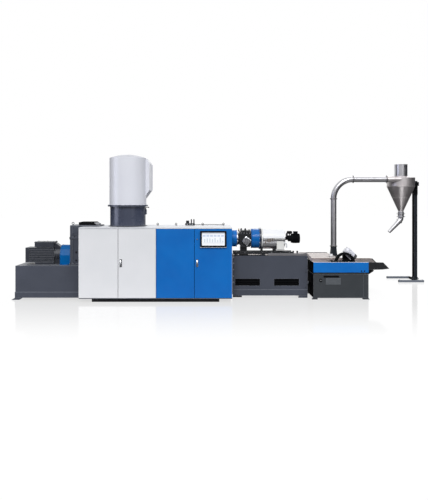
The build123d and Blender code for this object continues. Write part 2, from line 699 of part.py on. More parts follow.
def compactor():
    nodes = {}
    inner = DRUM_RADIUS - DRUM_WALL
    drum = rod_z(DRUM_X, 0, DRUM_BOTTOM, DRUM_TOP, DRUM_RADIUS)
    nodes["compactor_drum"] = drum - rod_z(DRUM_X, 0, DRUM_BOTTOM + 2 * DRUM_WALL, DRUM_TOP, inner)
    nodes["compactor_flange"] = (rod_z(DRUM_X, 0, DRUM_TOP, HOOD_BOTTOM, DRUM_FLANGE_RADIUS)
                                 - rod_z(DRUM_X, 0, DRUM_TOP, HOOD_BOTTOM, inner))
    latch_bottom = DRUM_BOTTOM + DRUM_LATCH_LEVEL
    latch = block(DRUM_X, DRUM_X + DRUM_RADIUS + DRUM_LATCH_PROUD, -DRUM_LATCH_WIDTH / 2,
                  DRUM_LATCH_WIDTH / 2, latch_bottom, latch_bottom + DRUM_LATCH_HEIGHT)
    latch = fillet(latch.edges().filter_by(Axis.Y).group_by(Axis.X)[-1], DRUM_LATCH_ROUNDING)
    nodes["compactor_latch"] = latch - rod_z(DRUM_X, 0, DRUM_BOTTOM, DRUM_TOP, DRUM_RADIUS)

    passage = extrude(chute_face(HOOD_WALL), amount=CHUTE_REAR - CHUTE_FRONT, dir=(0, 1, 0))
    passage &= block(DRUM_X + HOOD_WALL, DRUM_X + CHUTE_REACH, CHUTE_FRONT, CHUTE_REAR, CHUTE_BOTTOM,
                     HOOD_TOP)
    shell = pipe_z(DRUM_X, 0, HOOD_BOTTOM, HOOD_TOP, HOOD_RADIUS, HOOD_WALL)
    nodes["hood_shell"] = shell - passage
    nodes["hood_roof"] = dome_z(HOOD_RADIUS, HOOD_RISE, HOOD_WALL, DRUM_X, 0, HOOD_TOP)
    sheets = extrude(chute_face(0), amount=CHUTE_REAR - CHUTE_FRONT, dir=(0, 1, 0)) - passage
    nodes["feed_chute"] = sheets - rod_z(DRUM_X, 0, DRUM_BOTTOM, HOOD_TOP, HOOD_RADIUS + SHEET_GAP)
    return nodes


def splayed_foot(left, reach, length, height, top_inset=0):
    """Outline of a foot whose left end runs outwards to the floor."""
    return [(left - reach, 0), (left - reach + length, 0), (left - reach + length + top_inset, height),
            (left, height)]


def drive():
    nodes = {}
    right = CABINET_LEFT
    left = right - BASE_LENGTH
    back = BASE_FRONT + BASE_DEPTH
    base = block(left, right, BASE_FRONT, back, SKIRT_TOP, BED_TOP)
    base += block(left - SKIRT_PROUD, right, BASE_FRONT - SKIRT_PROUD, back + SKIRT_PROUD, BASE_CLEARANCE,
                  SKIRT_TOP)
    nodes["motor_base"] = base
    outline = splayed_foot(left - SKIRT_PROUD, SPLAYED_FOOT_REACH, SPLAYED_FOOT_LENGTH, BASE_CLEARANCE,
                           FOOT_WIDTH)
    feet = [prism_y(outline, y, y + FOOT_WIDTH) for y in (BASE_FRONT, back - FOOT_WIDTH)]
    for y in (BASE_FRONT + FOOT_SETBACK, back - FOOT_WIDTH):
        feet.append(block(right - FOOT_LENGTH, right, y, y + FOOT_WIDTH, 0, BASE_CLEARANCE))
    nodes["motor_base_feet"] = Part() + feet

    half = GEARBOX_WIDTH / 2
    body = block(GEARBOX_LEFT, GEARBOX_RIGHT, -half, half, BED_TOP, GEARBOX_TOP)
    body = fillet(body.edges().filter_by(Axis.X).group_by(Axis.Z)[-1], GEARBOX_ROUNDING)
    flange_left = GEARBOX_LEFT - GEARBOX_FLANGE_PROUD
    body += block(flange_left, GEARBOX_RIGHT, -half, half, BED_TOP, BED_TOP + GEARBOX_FLANGE_HEIGHT)
    body += rod_x(GEARBOX_LEFT - BEARING_CAP_LENGTH, GEARBOX_LEFT, 0, AXIS_HEIGHT + BEARING_CAP_RISE,
                  BEARING_CAP_RADIUS)
    body += eye_bolt(GEARBOX_LEFT + GEARBOX_EYE_INSET, GEARBOX_EYE_Y, GEARBOX_TOP, *GEARBOX_EYE)
    nodes["gearbox_housing"] = body
    cover_left = GEARBOX_LEFT + GEARBOX_COVER_INSET
    cover_right = cover_left + GEARBOX_COVER_LENGTH
    cover_top = GEARBOX_TOP + GEARBOX_COVER_HEIGHT
    cover_half = half - GEARBOX_COVER_SIDE
    nodes["gearbox_top_cover"] = prism_y(
        [(cover_left, GEARBOX_TOP), (cover_left, cover_top), (cover_right - GEARBOX_COVER_SLOPE, cover_top),
         (cover_right, GEARBOX_TOP + GEARBOX_COVER_END_HEIGHT), (cover_right, GEARBOX_TOP)],
        -cover_half, cover_half)

    guard_right = flange_left
    guard_left = guard_right - GUARD_LENGTH
    arch = [radians(180 - 180 * i / GUARD_FACETS) for i in range(GUARD_FACETS + 1)]
    profile = [(GUARD_RADIUS * cos(turn), MOTOR_AXIS_HEIGHT + GUARD_RADIUS * sin(turn)) for turn in arch]
    profile = [(-GUARD_RADIUS, BED_TOP), *profile, (GUARD_RADIUS, BED_TOP)]
    nodes["coupling_guard"] = prism_x(profile, guard_left, guard_right)
    nodes.update(main_motor(guard_left))
    return nodes


def main_motor(guard_left):
    """Square motor with level fins on its sides, its end shield, terminal box and cable cover."""
    nodes = {}
    shield_left = guard_left - END_SHIELD_LENGTH
    motor_left = shield_left - MOTOR_LENGTH
    half = MOTOR_SIZE / 2
    low = MOTOR_AXIS_HEIGHT - half
    high = MOTOR_AXIS_HEIGHT + half
    core = half - MOTOR_FIN_DEPTH
    fins_left = motor_left + MOTOR_COWL_LENGTH
    motor = block(motor_left, fins_left, -half, half, low, high)
    motor += block(fins_left, shield_left, -core, core, low, high)
    pitch = (MOTOR_SIZE - MOTOR_FIN_THICKNESS) / (MOTOR_FIN_COUNT - 1)
    for i in range(MOTOR_FIN_COUNT):
        fin = low + i * pitch
        motor += block(fins_left, shield_left, -half, half, fin, fin + MOTOR_FIN_THICKNESS)
    motor += block(motor_left + MOTOR_FEET_INSET, shield_left, -MOTOR_FEET_WIDTH / 2, MOTOR_FEET_WIDTH / 2,
                   BED_TOP, low)
    nodes["main_motor"] = motor
    barrel = rod_x(shield_left, guard_left, 0, MOTOR_AXIS_HEIGHT, END_SHIELD_RADIUS)
    nodes["motor_end_shield"] = barrel + block(shield_left, guard_left, -END_SHIELD_FOOT / 2,
                                               END_SHIELD_FOOT / 2, BED_TOP, MOTOR_AXIS_HEIGHT)
    box_left = shield_left - TERMINAL_BOX_LENGTH
    box_bottom = high + TERMINAL_BOX_RISE
    box = block(box_left, shield_left, -TERMINAL_BOX_WIDTH / 2, TERMINAL_BOX_WIDTH / 2, box_bottom,
                box_bottom + TERMINAL_BOX_HEIGHT)
    box = fillet(box.edges().filter_by(Axis.Z), TERMINAL_BOX_ROUNDING)
    neck = TERMINAL_BOX_WIDTH / 2 - TERMINAL_NECK_INSET
    box += block(box_left + TERMINAL_NECK_INSET, shield_left - TERMINAL_NECK_INSET, -neck, neck, high,
                 box_bottom)
    nodes["terminal_box"] = box
    cover_half = CABLE_COVER_WIDTH / 2
    cover_top = box_bottom + TERMINAL_BOX_HEIGHT * 3 / 4
    cover = prism_y([(shield_left, MOTOR_AXIS_HEIGHT), (shield_left, cover_top),
                     (shield_left + CABLE_COVER_LEDGE, cover_top), (guard_left, high),
                     (guard_left, MOTOR_AXIS_HEIGHT)], -cover_half, cover_half)
    nodes["motor_cable_cover"] = cover - barrel
    return nodes


def extruder_outlet():
    nodes = {}
    guard_right = CABINET_RIGHT + OUTLET_GUARD_LENGTH
    guard = rod_x(CABINET_RIGHT, guard_right, 0, AXIS_HEIGHT, OUTLET_GUARD_RADIUS)
    nodes["barrel_guard"] = guard - rod_x(CABINET_RIGHT, guard_right, 0, AXIS_HEIGHT, BARREL_RADIUS)
    profile = [(guard_right, BARREL_RADIUS + COLLAR_CLEARANCE), (guard_right, COLLAR_RADIUS),
               (guard_right + COLLAR_LENGTH / 3, COLLAR_RADIUS), (CHANGER_LEFT, COLLAR_RADIUS - COLLAR_TAPER),
               (CHANGER_LEFT, BARREL_RADIUS + COLLAR_CLEARANCE)]
    nodes["barrel_collar"] = turned_x(profile, 0, AXIS_HEIGHT)

    half = CHANGER_WIDTH / 2
    tall = CHANGER_HEIGHT / 2
    body = block(CHANGER_LEFT, CHANGER_RIGHT, -half, half, AXIS_HEIGHT - tall, AXIS_HEIGHT + tall)
    body = chamfer(body.edges().filter_by(Axis.Y), CHANGER_CHAMFER)
    for side in (-1, 1):
        body += rod_x(CHANGER_LEFT + CHANGER_CYLINDER_INSET, CHANGER_RIGHT - CHANGER_CYLINDER_INSET,
                      side * (half - CHANGER_CYLINDER_INSET), AXIS_HEIGHT + tall - CHANGER_CYLINDER_RADIUS,
                      CHANGER_CYLINDER_RADIUS)
    nodes["screen_changer"] = body
    middle = (CHANGER_LEFT + CHANGER_RIGHT) / 2 + SLIDE_BLOCK_SHIFT
    plate = Pos(middle, -half - SLIDE_BLOCK_DEPTH / 2, AXIS_HEIGHT - SLIDE_BLOCK_DROP) * Rot(
        0, SLIDE_BLOCK_TILT, 0) * Box(SLIDE_BLOCK_SIZE, SLIDE_BLOCK_DEPTH, SLIDE_BLOCK_SIZE)
    nodes["screen_changer_block"] = fillet(plate.edges().filter_by(Axis.Y), SLIDE_BLOCK_ROUNDING)
    foot_left = CHANGER_LEFT - PEDESTAL_SHIFT
    foot_right = foot_left + PEDESTAL_LENGTH
    foot_half = PEDESTAL_WIDTH / 2
    pedestal = block(foot_left + PEDESTAL_FLANGE, foot_right - PEDESTAL_FLANGE, PEDESTAL_FLANGE - foot_half,
                     foot_half - PEDESTAL_FLANGE, TRAY_TOP, AXIS_HEIGHT - tall)
    pedestal += block(foot_left, foot_right, -foot_half, foot_half, TRAY_TOP, TRAY_TOP + PEDESTAL_FLANGE)
    nodes["screen_changer_pedestal"] = pedestal

    flange_left = DIE_RIGHT - DIE_FLANGE_LENGTH
    bell = rod_x(CHANGER_RIGHT, flange_left, 0, AXIS_HEIGHT, DIE_RADIUS)
    bell = fillet(bell.edges().group_by(Axis.X)[0], DIE_ROUNDING)
    nodes["die_bell"] = bell
    nodes["die_flange"] = rod_x(flange_left, DIE_RIGHT, 0, AXIS_HEIGHT, DIE_FLANGE_RADIUS)
    return nodes


def cutter_carriage():
    nodes = {}
    left = CHAMBER_LEFT
    right = CHAMBER_RIGHT
    chamber = rod_x(left, right, 0, AXIS_HEIGHT, CHAMBER_RADIUS)
    chamber = fillet(chamber.edges().group_by(Axis.X)[-1], CHAMBER_ROUNDING)
    chamber += rod_x(left, left + CHAMBER_RIM_LENGTH, 0, AXIS_HEIGHT, CHAMBER_RADIUS + CHAMBER_RIM)
    chamber -= rod_x(left, BOX_LEFT - BORE_END_MARGIN, 0, AXIS_HEIGHT, CHAMBER_RADIUS - CHAMBER_WALL)
    half = OUTLET_BOX_WIDTH / 2
    box_right = BOX_LEFT + OUTLET_BOX_LENGTH
    bottom = AXIS_HEIGHT - OUTLET_BOX_DROP
    top = AXIS_HEIGHT + OUTLET_BOX_RISE
    wall = OUTLET_BOX_WALL
    outer = block(BOX_LEFT, box_right, -half, half, bottom, top)
    nodes["cutter_chamber"] = chamber - outer
    nodes["discharge_box"] = outer - block(BOX_LEFT + wall, box_right - wall, wall - half, half - wall,
                                           bottom, top - wall)

    runner_bottom = RAIL_TOP + RUNNER_SLACK
    plate_half = (RAIL_SPREAD + RAIL_WIDTH) / 2
    legs = []
    for x0, x1, seat in ((left, left + CHAMBER_RIM_LENGTH, CHAMBER_RADIUS + CHAMBER_RIM),
                         (LEG_RIGHT - LEG_THICKNESS, LEG_RIGHT, CHAMBER_RADIUS)):
        plate = block(x0, x1, -plate_half, plate_half, runner_bottom + RUNNER_HEIGHT, AXIS_HEIGHT - LEG_DROP)
        legs.append(plate - rod_x(x0, x1, 0, AXIS_HEIGHT, seat + SHEET_GAP))
        for side in (-1, 1):
            y = side * RAIL_SPREAD / 2
            legs.append(block(x0, x1 + RUNNER_END_LENGTH, y - RAIL_WIDTH / 2, y + RAIL_WIDTH / 2,
                              runner_bottom, runner_bottom + RUNNER_HEIGHT))
    nodes["carriage_legs"] = Part() + legs

    motor_left = right + CUTTER_NECK_LENGTH
    shield_radius = CUTTER_MOTOR_RADIUS - CUTTER_SHIELD_STEP
    neck = rod_x(right, motor_left, 0, AXIS_HEIGHT, CUTTER_NECK_RADIUS)
    shield = rod_x(motor_left - CUTTER_SHIELD_LENGTH, motor_left, 0, AXIS_HEIGHT, shield_radius)
    motor = rod_x(motor_left, motor_left + CUTTER_MOTOR_LENGTH, 0, AXIS_HEIGHT, CUTTER_MOTOR_RADIUS)
    motor = fillet(motor.edges().group_by(Axis.X)[-1], CUTTER_MOTOR_ROUNDING)
    nodes["cutter_motor"] = motor + neck + shield
    wheel_x = right + HANDWHEEL_OFFSET
    wheel = rod_x(wheel_x, wheel_x + HANDWHEEL_LENGTH, 0, AXIS_HEIGHT + HANDWHEEL_RISE, HANDWHEEL_RADIUS)
    spindle_x = motor_left - CUTTER_SHIELD_LENGTH / 2
    knob_bottom = AXIS_HEIGHT + KNOB_RISE
    spindle = rod_z(spindle_x, 0, AXIS_HEIGHT, knob_bottom, SPINDLE_RADIUS)
    knob = rod_z(spindle_x, 0, knob_bottom, knob_bottom + KNOB_HEIGHT, KNOB_RADIUS)
    nodes["cutter_handwheels"] = (wheel - neck) + (spindle - shield) + fillet(knob.edges(), KNOB_ROUNDING)
    return nodes


def pelletizer_base():
    nodes = {}
    left = PELLETIZER_BASE_LEFT
    right = left + PELLETIZER_BASE_LENGTH
    front = PELLETIZER_BASE_FRONT
    back = front + PELLETIZER_BASE_DEPTH
    base = block(left, right, front, back, PELLETIZER_BASE_CLEARANCE, PELLETIZER_BASE_TOP)
    for i in range(2):
        x = left + SLOT_LEFT_INSET + i * SLOT_PITCH
        base -= block(x, x + SLOT_LENGTH, front, front + SLOT_DEPTH, SLOT_LEVEL - SLOT_HEIGHT / 2,
                      SLOT_LEVEL + SLOT_HEIGHT / 2)
    base += block(left, right, front - SKIRT_PROUD, front, PELLETIZER_BASE_CLEARANCE, PELLETIZER_SKIRT_TOP)
    nodes["pelletizer_base"] = base
    foot_left = right - PELLETIZER_FOOT_LENGTH
    splayed = [(foot_left, 0), (right, 0), (right, PELLETIZER_BASE_CLEARANCE),
               (foot_left + PELLETIZER_FOOT_SPLAY, PELLETIZER_BASE_CLEARANCE)]
    feet = []
    for y in (front, back - FOOT_WIDTH):
        feet.append(prism_y(splayed, y, y + FOOT_WIDTH))
    for y in (front + PELLETIZER_FOOT_SETBACK, back - FOOT_WIDTH):
        feet.append(block(left, left + PELLETIZER_FOOT_LENGTH, y, y + FOOT_WIDTH, 0,
                          PELLETIZER_BASE_CLEARANCE))
    nodes["pelletizer_base_feet"] = Part() + feet
    nodes["drip_tray"] = block(left, right, front, back, PELLETIZER_BASE_TOP, TRAY_TOP)
    rails = []
    rail_left = left + RAIL_START
    rail_right = LEG_RIGHT + RUNNER_END_LENGTH + CARRIAGE_TRAVEL + RAIL_END_MARGIN
    middle = (rail_left + rail_right - RISER_LENGTH) / 2
    for side in (-1, 1):
        y0 = side * RAIL_SPREAD / 2 - RAIL_WIDTH / 2
        y1 = y0 + RAIL_WIDTH
        rails.append(block(rail_left, rail_right, y0, y1, RAIL_TOP - RAIL_HEIGHT, RAIL_TOP))
        for x in (rail_left + RISER_END_INSET, middle, rail_right - RISER_END_INSET - RISER_LENGTH):
            rails.append(block(x, x + RISER_LENGTH, y0, y1, TRAY_TOP, RAIL_TOP - RAIL_HEIGHT))
    for offset_x in STOP_OFFSETS:
        rails.append(rod_z(rail_right + offset_x, 0, TRAY_TOP, TRAY_TOP + STOP_HEIGHT, STOP_RADIUS))
    nodes["slide_rails"] = Part() + rails

    low = PELLETIZER_BASE_TOP - SLURRY_CHUTE_DEPTH
    over = TANK_LEFT + SLURRY_CHUTE_OVERHANG
    drop = BOARD_TOP + SLURRY_CHUTE_DEPTH
    lower = [(over, BOARD_TOP), (TANK_LEFT, BOARD_TOP), (right + 2 * SLURRY_CHUTE_DEPTH, low), (right, low)]
    lip = right + SLURRY_CHUTE_RUN
    floor = [(right, TRAY_TOP), (lip, TRAY_TOP), (over, drop), *lower]
    side = [(right, TRAY_TOP + SLURRY_CHUTE_SIDE), (lip, TRAY_TOP + SLURRY_CHUTE_SIDE),
            (over, drop + SLURRY_CHUTE_SIDE), *lower]
    y0, y1 = SLURRY_CHUTE_SPAN
    nodes["slurry_chute"] = (prism_y(floor, y0, y1) + prism_y(side, y0 - SLURRY_CHUTE_WALL, y0)
                             + prism_y(side, y1, y1 + SLURRY_CHUTE_WALL))
    nodes["water_return_pipe"] = rod_x(right, TANK_LEFT, RETURN_PIPE_Y, RETURN_PIPE_LEVEL, RETURN_PIPE_RADIUS)
    return nodes


def tank_and_sieve():
    nodes = {}
    wall = TANK_WALL
    front = block(TANK_LEFT, TANK_RIGHT, TANK_FRONT, TANK_BACK, TANK_CLEARANCE, TANK_TOP)
    front -= block(TANK_LEFT + wall, TANK_RIGHT - wall, TANK_FRONT + wall, TANK_BACK - wall,
                   TANK_CLEARANCE + wall, TANK_TOP)
    nodes["sieve_tank"] = front
    rear_right = TANK_LEFT + REAR_TANK_LENGTH
    rear_back = TANK_BACK + REAR_TANK_DEPTH
    rear_top = BOARD_TOP - COVER_THICKNESS
    rear = block(TANK_LEFT, rear_right, TANK_BACK, rear_back, TANK_CLEARANCE, rear_top)
    rear -= block(TANK_LEFT + wall, rear_right - wall, TANK_BACK + wall, rear_back - wall,
                  TANK_CLEARANCE + wall, rear_top)
    nodes["water_tank"] = rear
    nodes["water_tank_cover"] = block(TANK_LEFT, rear_right, TANK_BACK, rear_back, rear_top, BOARD_TOP)
    left_length, right_length = TANK_FOOT_LENGTHS
    left_splay, right_splay = TANK_FOOT_SPLAYS
    left_foot = [(TANK_LEFT - left_splay, 0), (TANK_LEFT + left_length, 0),
                 (TANK_LEFT + left_length, TANK_CLEARANCE), (TANK_LEFT, TANK_CLEARANCE)]
    right_foot = [(TANK_RIGHT - right_length, 0), (TANK_RIGHT + right_splay, 0),
                  (TANK_RIGHT, TANK_CLEARANCE), (TANK_RIGHT - right_length, TANK_CLEARANCE)]
    for y in (TANK_FRONT, TANK_BACK - TANK_FOOT_WIDTH):
        nodes["sieve_tank"] += prism_y(left_foot, y, y + TANK_FOOT_WIDTH)
        nodes["sieve_tank"] += prism_y(right_foot, y, y + TANK_FOOT_WIDTH)
    for x in (TANK_LEFT, rear_right - left_length):
        nodes["water_tank"] += block(x, x + left_length, rear_back - TANK_FOOT_WIDTH, rear_back, 0,
                                     TANK_CLEARANCE)

    inner_front = TANK_FRONT + BOARD_THICKNESS
    inner_back = TANK_BACK - BOARD_THICKNESS
    nodes["sieve_front_board"] = block(TANK_LEFT, TANK_RIGHT, TANK_FRONT, inner_front, BOARD_BOTTOM,
                                       BOARD_TOP)
    nodes["sieve_rear_board"] = block(TANK_LEFT, TANK_RIGHT, inner_back, TANK_BACK, BOARD_BOTTOM, BOARD_TOP)
    under = DECK_LEVEL - DECK_THICKNESS
    deck = block(TANK_LEFT, TANK_RIGHT, inner_front, inner_back, under, DECK_LEVEL)
    deck += block(TANK_LEFT, TANK_LEFT + DECK_END_THICKNESS, inner_front, inner_back, BOARD_BOTTOM, BOARD_TOP)
    mounts = []
    bar = DECK_BAR_WIDTH / 2
    for x in (TANK_LEFT + DECK_BAR_INSET, (TANK_LEFT + TANK_RIGHT) / 2, TANK_RIGHT - DECK_BAR_INSET):
        deck += block(x - bar, x + bar, inner_front, inner_back, BOARD_BOTTOM, under)
        for y in (TANK_FRONT, TANK_BACK - MOUNT_WIDTH):
            mounts.append(block(x - bar, x + bar, y, y + MOUNT_WIDTH, TANK_TOP, BOARD_BOTTOM))
    nodes["sieve_deck"] = deck
    nodes["sieve_rubber_mounts"] = Part() + mounts

    elbow = TANK_RIGHT + SPOUT_LENGTH
    tip = elbow + SPOUT_LIP
    lift = SPOUT_BOTTOM + SPOUT_SLOPE
    lip = SPOUT_BOTTOM + 3 * SPOUT_SLOPE
    side = [(TANK_RIGHT, SPOUT_BOTTOM), (elbow, lift), (tip, lip),
            (elbow + SPOUT_SLOPE, BOARD_TOP - SPOUT_FLOOR), (TANK_RIGHT, BOARD_TOP)]
    floor = [(TANK_RIGHT, SPOUT_BOTTOM), (elbow, lift), (tip, lip), (tip - SPOUT_WALL, lip + SPOUT_FLOOR),
             (elbow, lift + SPOUT_FLOOR), (TANK_RIGHT, SPOUT_BOTTOM + SPOUT_FLOOR)]
    spout = prism_y(floor, inner_front - SPOUT_WALL, inner_back + SPOUT_WALL)
    spout += prism_y(side, inner_front - SPOUT_WALL, inner_front)
    spout += prism_y(side, inner_back, inner_back + SPOUT_WALL)
    nodes["sieve_spout"] = spout

    bars = []
    reach = ARCH_RADIUS - ARCH_BAND / 2
    for side in (-1, 1):
        x = ARCH_X + side * reach
        bars.append(block(x - ARCH_BAR_WIDTH / 2, x + ARCH_BAR_WIDTH / 2, inner_front, inner_back,
                          ARCH_LEVEL - ARCH_BAR_HEIGHT, ARCH_LEVEL))
    arch_front = ARCH_BACK - ARCH_WIDTH
    ring = rod_y(ARCH_X, arch_front, ARCH_BACK, ARCH_LEVEL, ARCH_RADIUS)
    ring -= rod_y(ARCH_X, arch_front, ARCH_BACK, ARCH_LEVEL, ARCH_RADIUS - ARCH_BAND)
    ring -= block(ARCH_X - ARCH_RADIUS, ARCH_X + ARCH_RADIUS, arch_front, ARCH_BACK, ARCH_LEVEL - ARCH_RADIUS,
                  ARCH_LEVEL)
    nodes["arch_bracket"] = (Part() + bars) + ring
    nodes.update(sieve_motor(reach))
    return nodes


def sieve_motor(reach):
    """Vibration motor on a sloped seat between the arch's bars."""
    nodes = {}
    tilt = radians(SIEVE_MOTOR_TILT)
    motor_x = ARCH_X + SIEVE_MOTOR_SHIFT
    motor_y = SIEVE_MOTOR_Y
    motor_z = ARCH_LEVEL + SIEVE_MOTOR_RISE
    seat_length, seat_width, seat_height = SIEVE_MOTOR_SEAT
    seat = SIEVE_MOTOR_RADIUS + SEAT_GAP
    foot_x = motor_x - seat * sin(tilt)
    foot_z = motor_z - seat * cos(tilt)
    half = SIEVE_MOTOR_LENGTH / 2 - 2 * SIEVE_BRACKET_THICKNESS
    base_top = ARCH_LEVEL + SIEVE_BRACKET_THICKNESS
    low_x = foot_x + (foot_z - base_top) / tan(tilt)
    high_x = foot_x - half * cos(tilt)
    high_z = foot_z + half * sin(tilt)
    seat_block = prism_y([(high_x, base_top), (low_x, base_top), (high_x, high_z)], motor_y - seat_width / 2,
                         motor_y + seat_width / 2)
    plate_x = reach + ARCH_BAR_WIDTH / 2
    plate = block(ARCH_X - plate_x, ARCH_X + plate_x, motor_y - SIEVE_BRACKET_WIDTH / 2,
                  motor_y + SIEVE_BRACKET_WIDTH / 2, ARCH_LEVEL, base_top)
    nodes["sieve_motor_bracket"] = plate + seat_block
    frame = Plane(origin=(motor_x, motor_y, motor_z), z_dir=(cos(tilt), 0, -sin(tilt)))
    motor = frame * Cylinder(SIEVE_MOTOR_RADIUS - SIEVE_MOTOR_STEP, SIEVE_MOTOR_LENGTH)
    for i in range(SIEVE_MOTOR_FINS):
        along = (i - (SIEVE_MOTOR_FINS - 1) / 2) * SIEVE_MOTOR_FIN_PITCH
        motor += frame * Pos(0, 0, along) * Cylinder(SIEVE_MOTOR_RADIUS, SIEVE_MOTOR_FIN_THICKNESS)
    motor += Plane(origin=(foot_x, motor_y, foot_z), x_dir=(cos(tilt), 0, -sin(tilt)),
                   z_dir=(sin(tilt), 0, cos(tilt))) * Pos(0, 0, seat_height / 2) * Box(
                       seat_length, seat_width, seat_height)
    nodes["vibration_motor"] = motor
    return nodes


def blower_and_pipe():
    nodes = {}
    front = PIPE_Y - BLOWER_WIDTH / 2
    back = PIPE_Y + BLOWER_WIDTH / 2
    half = TRANSITION_WIDTH / 2
    scroll = rod_y(BLOWER_X, front, back, BLOWER_LEVEL, BLOWER_RADIUS)
    scroll += block(PIPE_X - half, PIPE_X + half, front, back, BLOWER_LEVEL, TRANSITION_BOTTOM)
    nodes["blower_housing"] = scroll
    motor_back = back + BLOWER_MOTOR_LENGTH
    nodes["blower_motor"] = rod_y(BLOWER_X, back, motor_back, BLOWER_LEVEL, BLOWER_MOTOR_RADIUS)
    stand_x = BLOWER_STAND_LENGTH / 2
    stand = block(BLOWER_X - stand_x, BLOWER_X + stand_x, front, back, 0, BLOWER_LEVEL - BLOWER_STAND_DROP)
    stand -= scroll
    stand_x = MOTOR_STAND_LENGTH / 2
    cradle = block(BLOWER_X - stand_x, BLOWER_X + stand_x, back, motor_back, 0,
                   BLOWER_LEVEL - BLOWER_MOTOR_RADIUS / 2)
    cradle -= rod_y(BLOWER_X, back, motor_back, BLOWER_LEVEL, BLOWER_MOTOR_RADIUS + SHEET_GAP)
    nodes["blower_stand"] = stand + cradle
    duct = rod_y(BLOWER_X, TANK_BACK, front, BLOWER_LEVEL, PIPE_RADIUS)
    nodes["suction_duct"] = duct - rod_y(BLOWER_X, TANK_BACK, front, BLOWER_LEVEL, PIPE_RADIUS - PIPE_WALL)

    def funnel(inset):
        low = Plane(origin=(PIPE_X, PIPE_Y, TRANSITION_BOTTOM)) * Rectangle(TRANSITION_WIDTH - 2 * inset,
                                                                            TRANSITION_WIDTH - 2 * inset)
        high = Plane(origin=(PIPE_X, PIPE_Y, TRANSITION_TOP)) * Circle(PIPE_RADIUS - inset)
        return loft([low.face(), high.face()])

    nodes["outlet_transition"] = funnel(0) - funnel(PIPE_WALL)

    riser = pipe_z(PIPE_X, PIPE_Y, TRANSITION_TOP, RISER_TOP, PIPE_RADIUS, PIPE_WALL)
    for z in (TRANSITION_TOP, RISER_TOP - PIPE_FLANGE_LENGTH / 2):
        riser += pipe_z(PIPE_X, PIPE_Y, z, z + PIPE_FLANGE_LENGTH / 2, PIPE_FLANGE_RADIUS,
                        PIPE_FLANGE_RADIUS - PIPE_RADIUS + PIPE_WALL)
    nodes["riser_pipe"] = riser
    section = Plane(origin=(PIPE_X, PIPE_Y, RISER_TOP), z_dir=(0, 0, -1)) * (
        Circle(PIPE_RADIUS) - Circle(PIPE_RADIUS - PIPE_WALL))
    bend_x = PIPE_X + PIPE_BEND
    elbow = revolve(section, axis=Axis((bend_x, PIPE_Y, RISER_TOP), (0, 1, 0)), revolution_arc=90)
    collar = PIPE_FLANGE_RADIUS - PIPE_RADIUS + PIPE_WALL / 2
    elbow += pipe_z(PIPE_X, PIPE_Y, RISER_TOP, RISER_TOP + PIPE_FLANGE_LENGTH / 2, PIPE_FLANGE_RADIUS, collar)
    elbow += pipe_x(bend_x - PIPE_FLANGE_LENGTH / 2, bend_x, PIPE_Y, PIPE_LEVEL, PIPE_FLANGE_RADIUS, collar)
    nodes["pipe_elbow"] = elbow
    inlet_x = CYCLONE_X - CYCLONE_RADIUS - INLET_LENGTH
    level = pipe_x(bend_x, inlet_x, PIPE_Y, PIPE_LEVEL, PIPE_RADIUS, PIPE_WALL)
    for x in (bend_x, inlet_x - PIPE_FLANGE_LENGTH / 2):
        level += pipe_x(x, x + PIPE_FLANGE_LENGTH / 2, PIPE_Y, PIPE_LEVEL, PIPE_FLANGE_RADIUS,
                        PIPE_FLANGE_RADIUS - PIPE_RADIUS + PIPE_WALL)
    nodes["level_pipe"] = level
    inlet = pipe_x(inlet_x, CYCLONE_X, PIPE_Y, PIPE_LEVEL, PIPE_RADIUS, PIPE_WALL)
    inlet += pipe_x(inlet_x, inlet_x + PIPE_FLANGE_LENGTH / 2, PIPE_Y, PIPE_LEVEL, PIPE_FLANGE_RADIUS,
                    PIPE_FLANGE_RADIUS - PIPE_RADIUS + PIPE_WALL)
    nodes["cyclone_inlet"] = inlet - cyclone_outside()
    return nodes


def cyclone_outside():
    """The cyclone's outer form as a solid."""
    profile = [(0, CYCLONE_TOP), (EXHAUST_RADIUS, CYCLONE_TOP), (CYCLONE_RADIUS, CYCLONE_SHOULDER),
               (CYCLONE_RADIUS, CONE_TOP), (OUTLET_RADIUS, CONE_BOTTOM), (0, CONE_BOTTOM)]
    return turned_z(profile, CYCLONE_X, CYCLONE_Y)


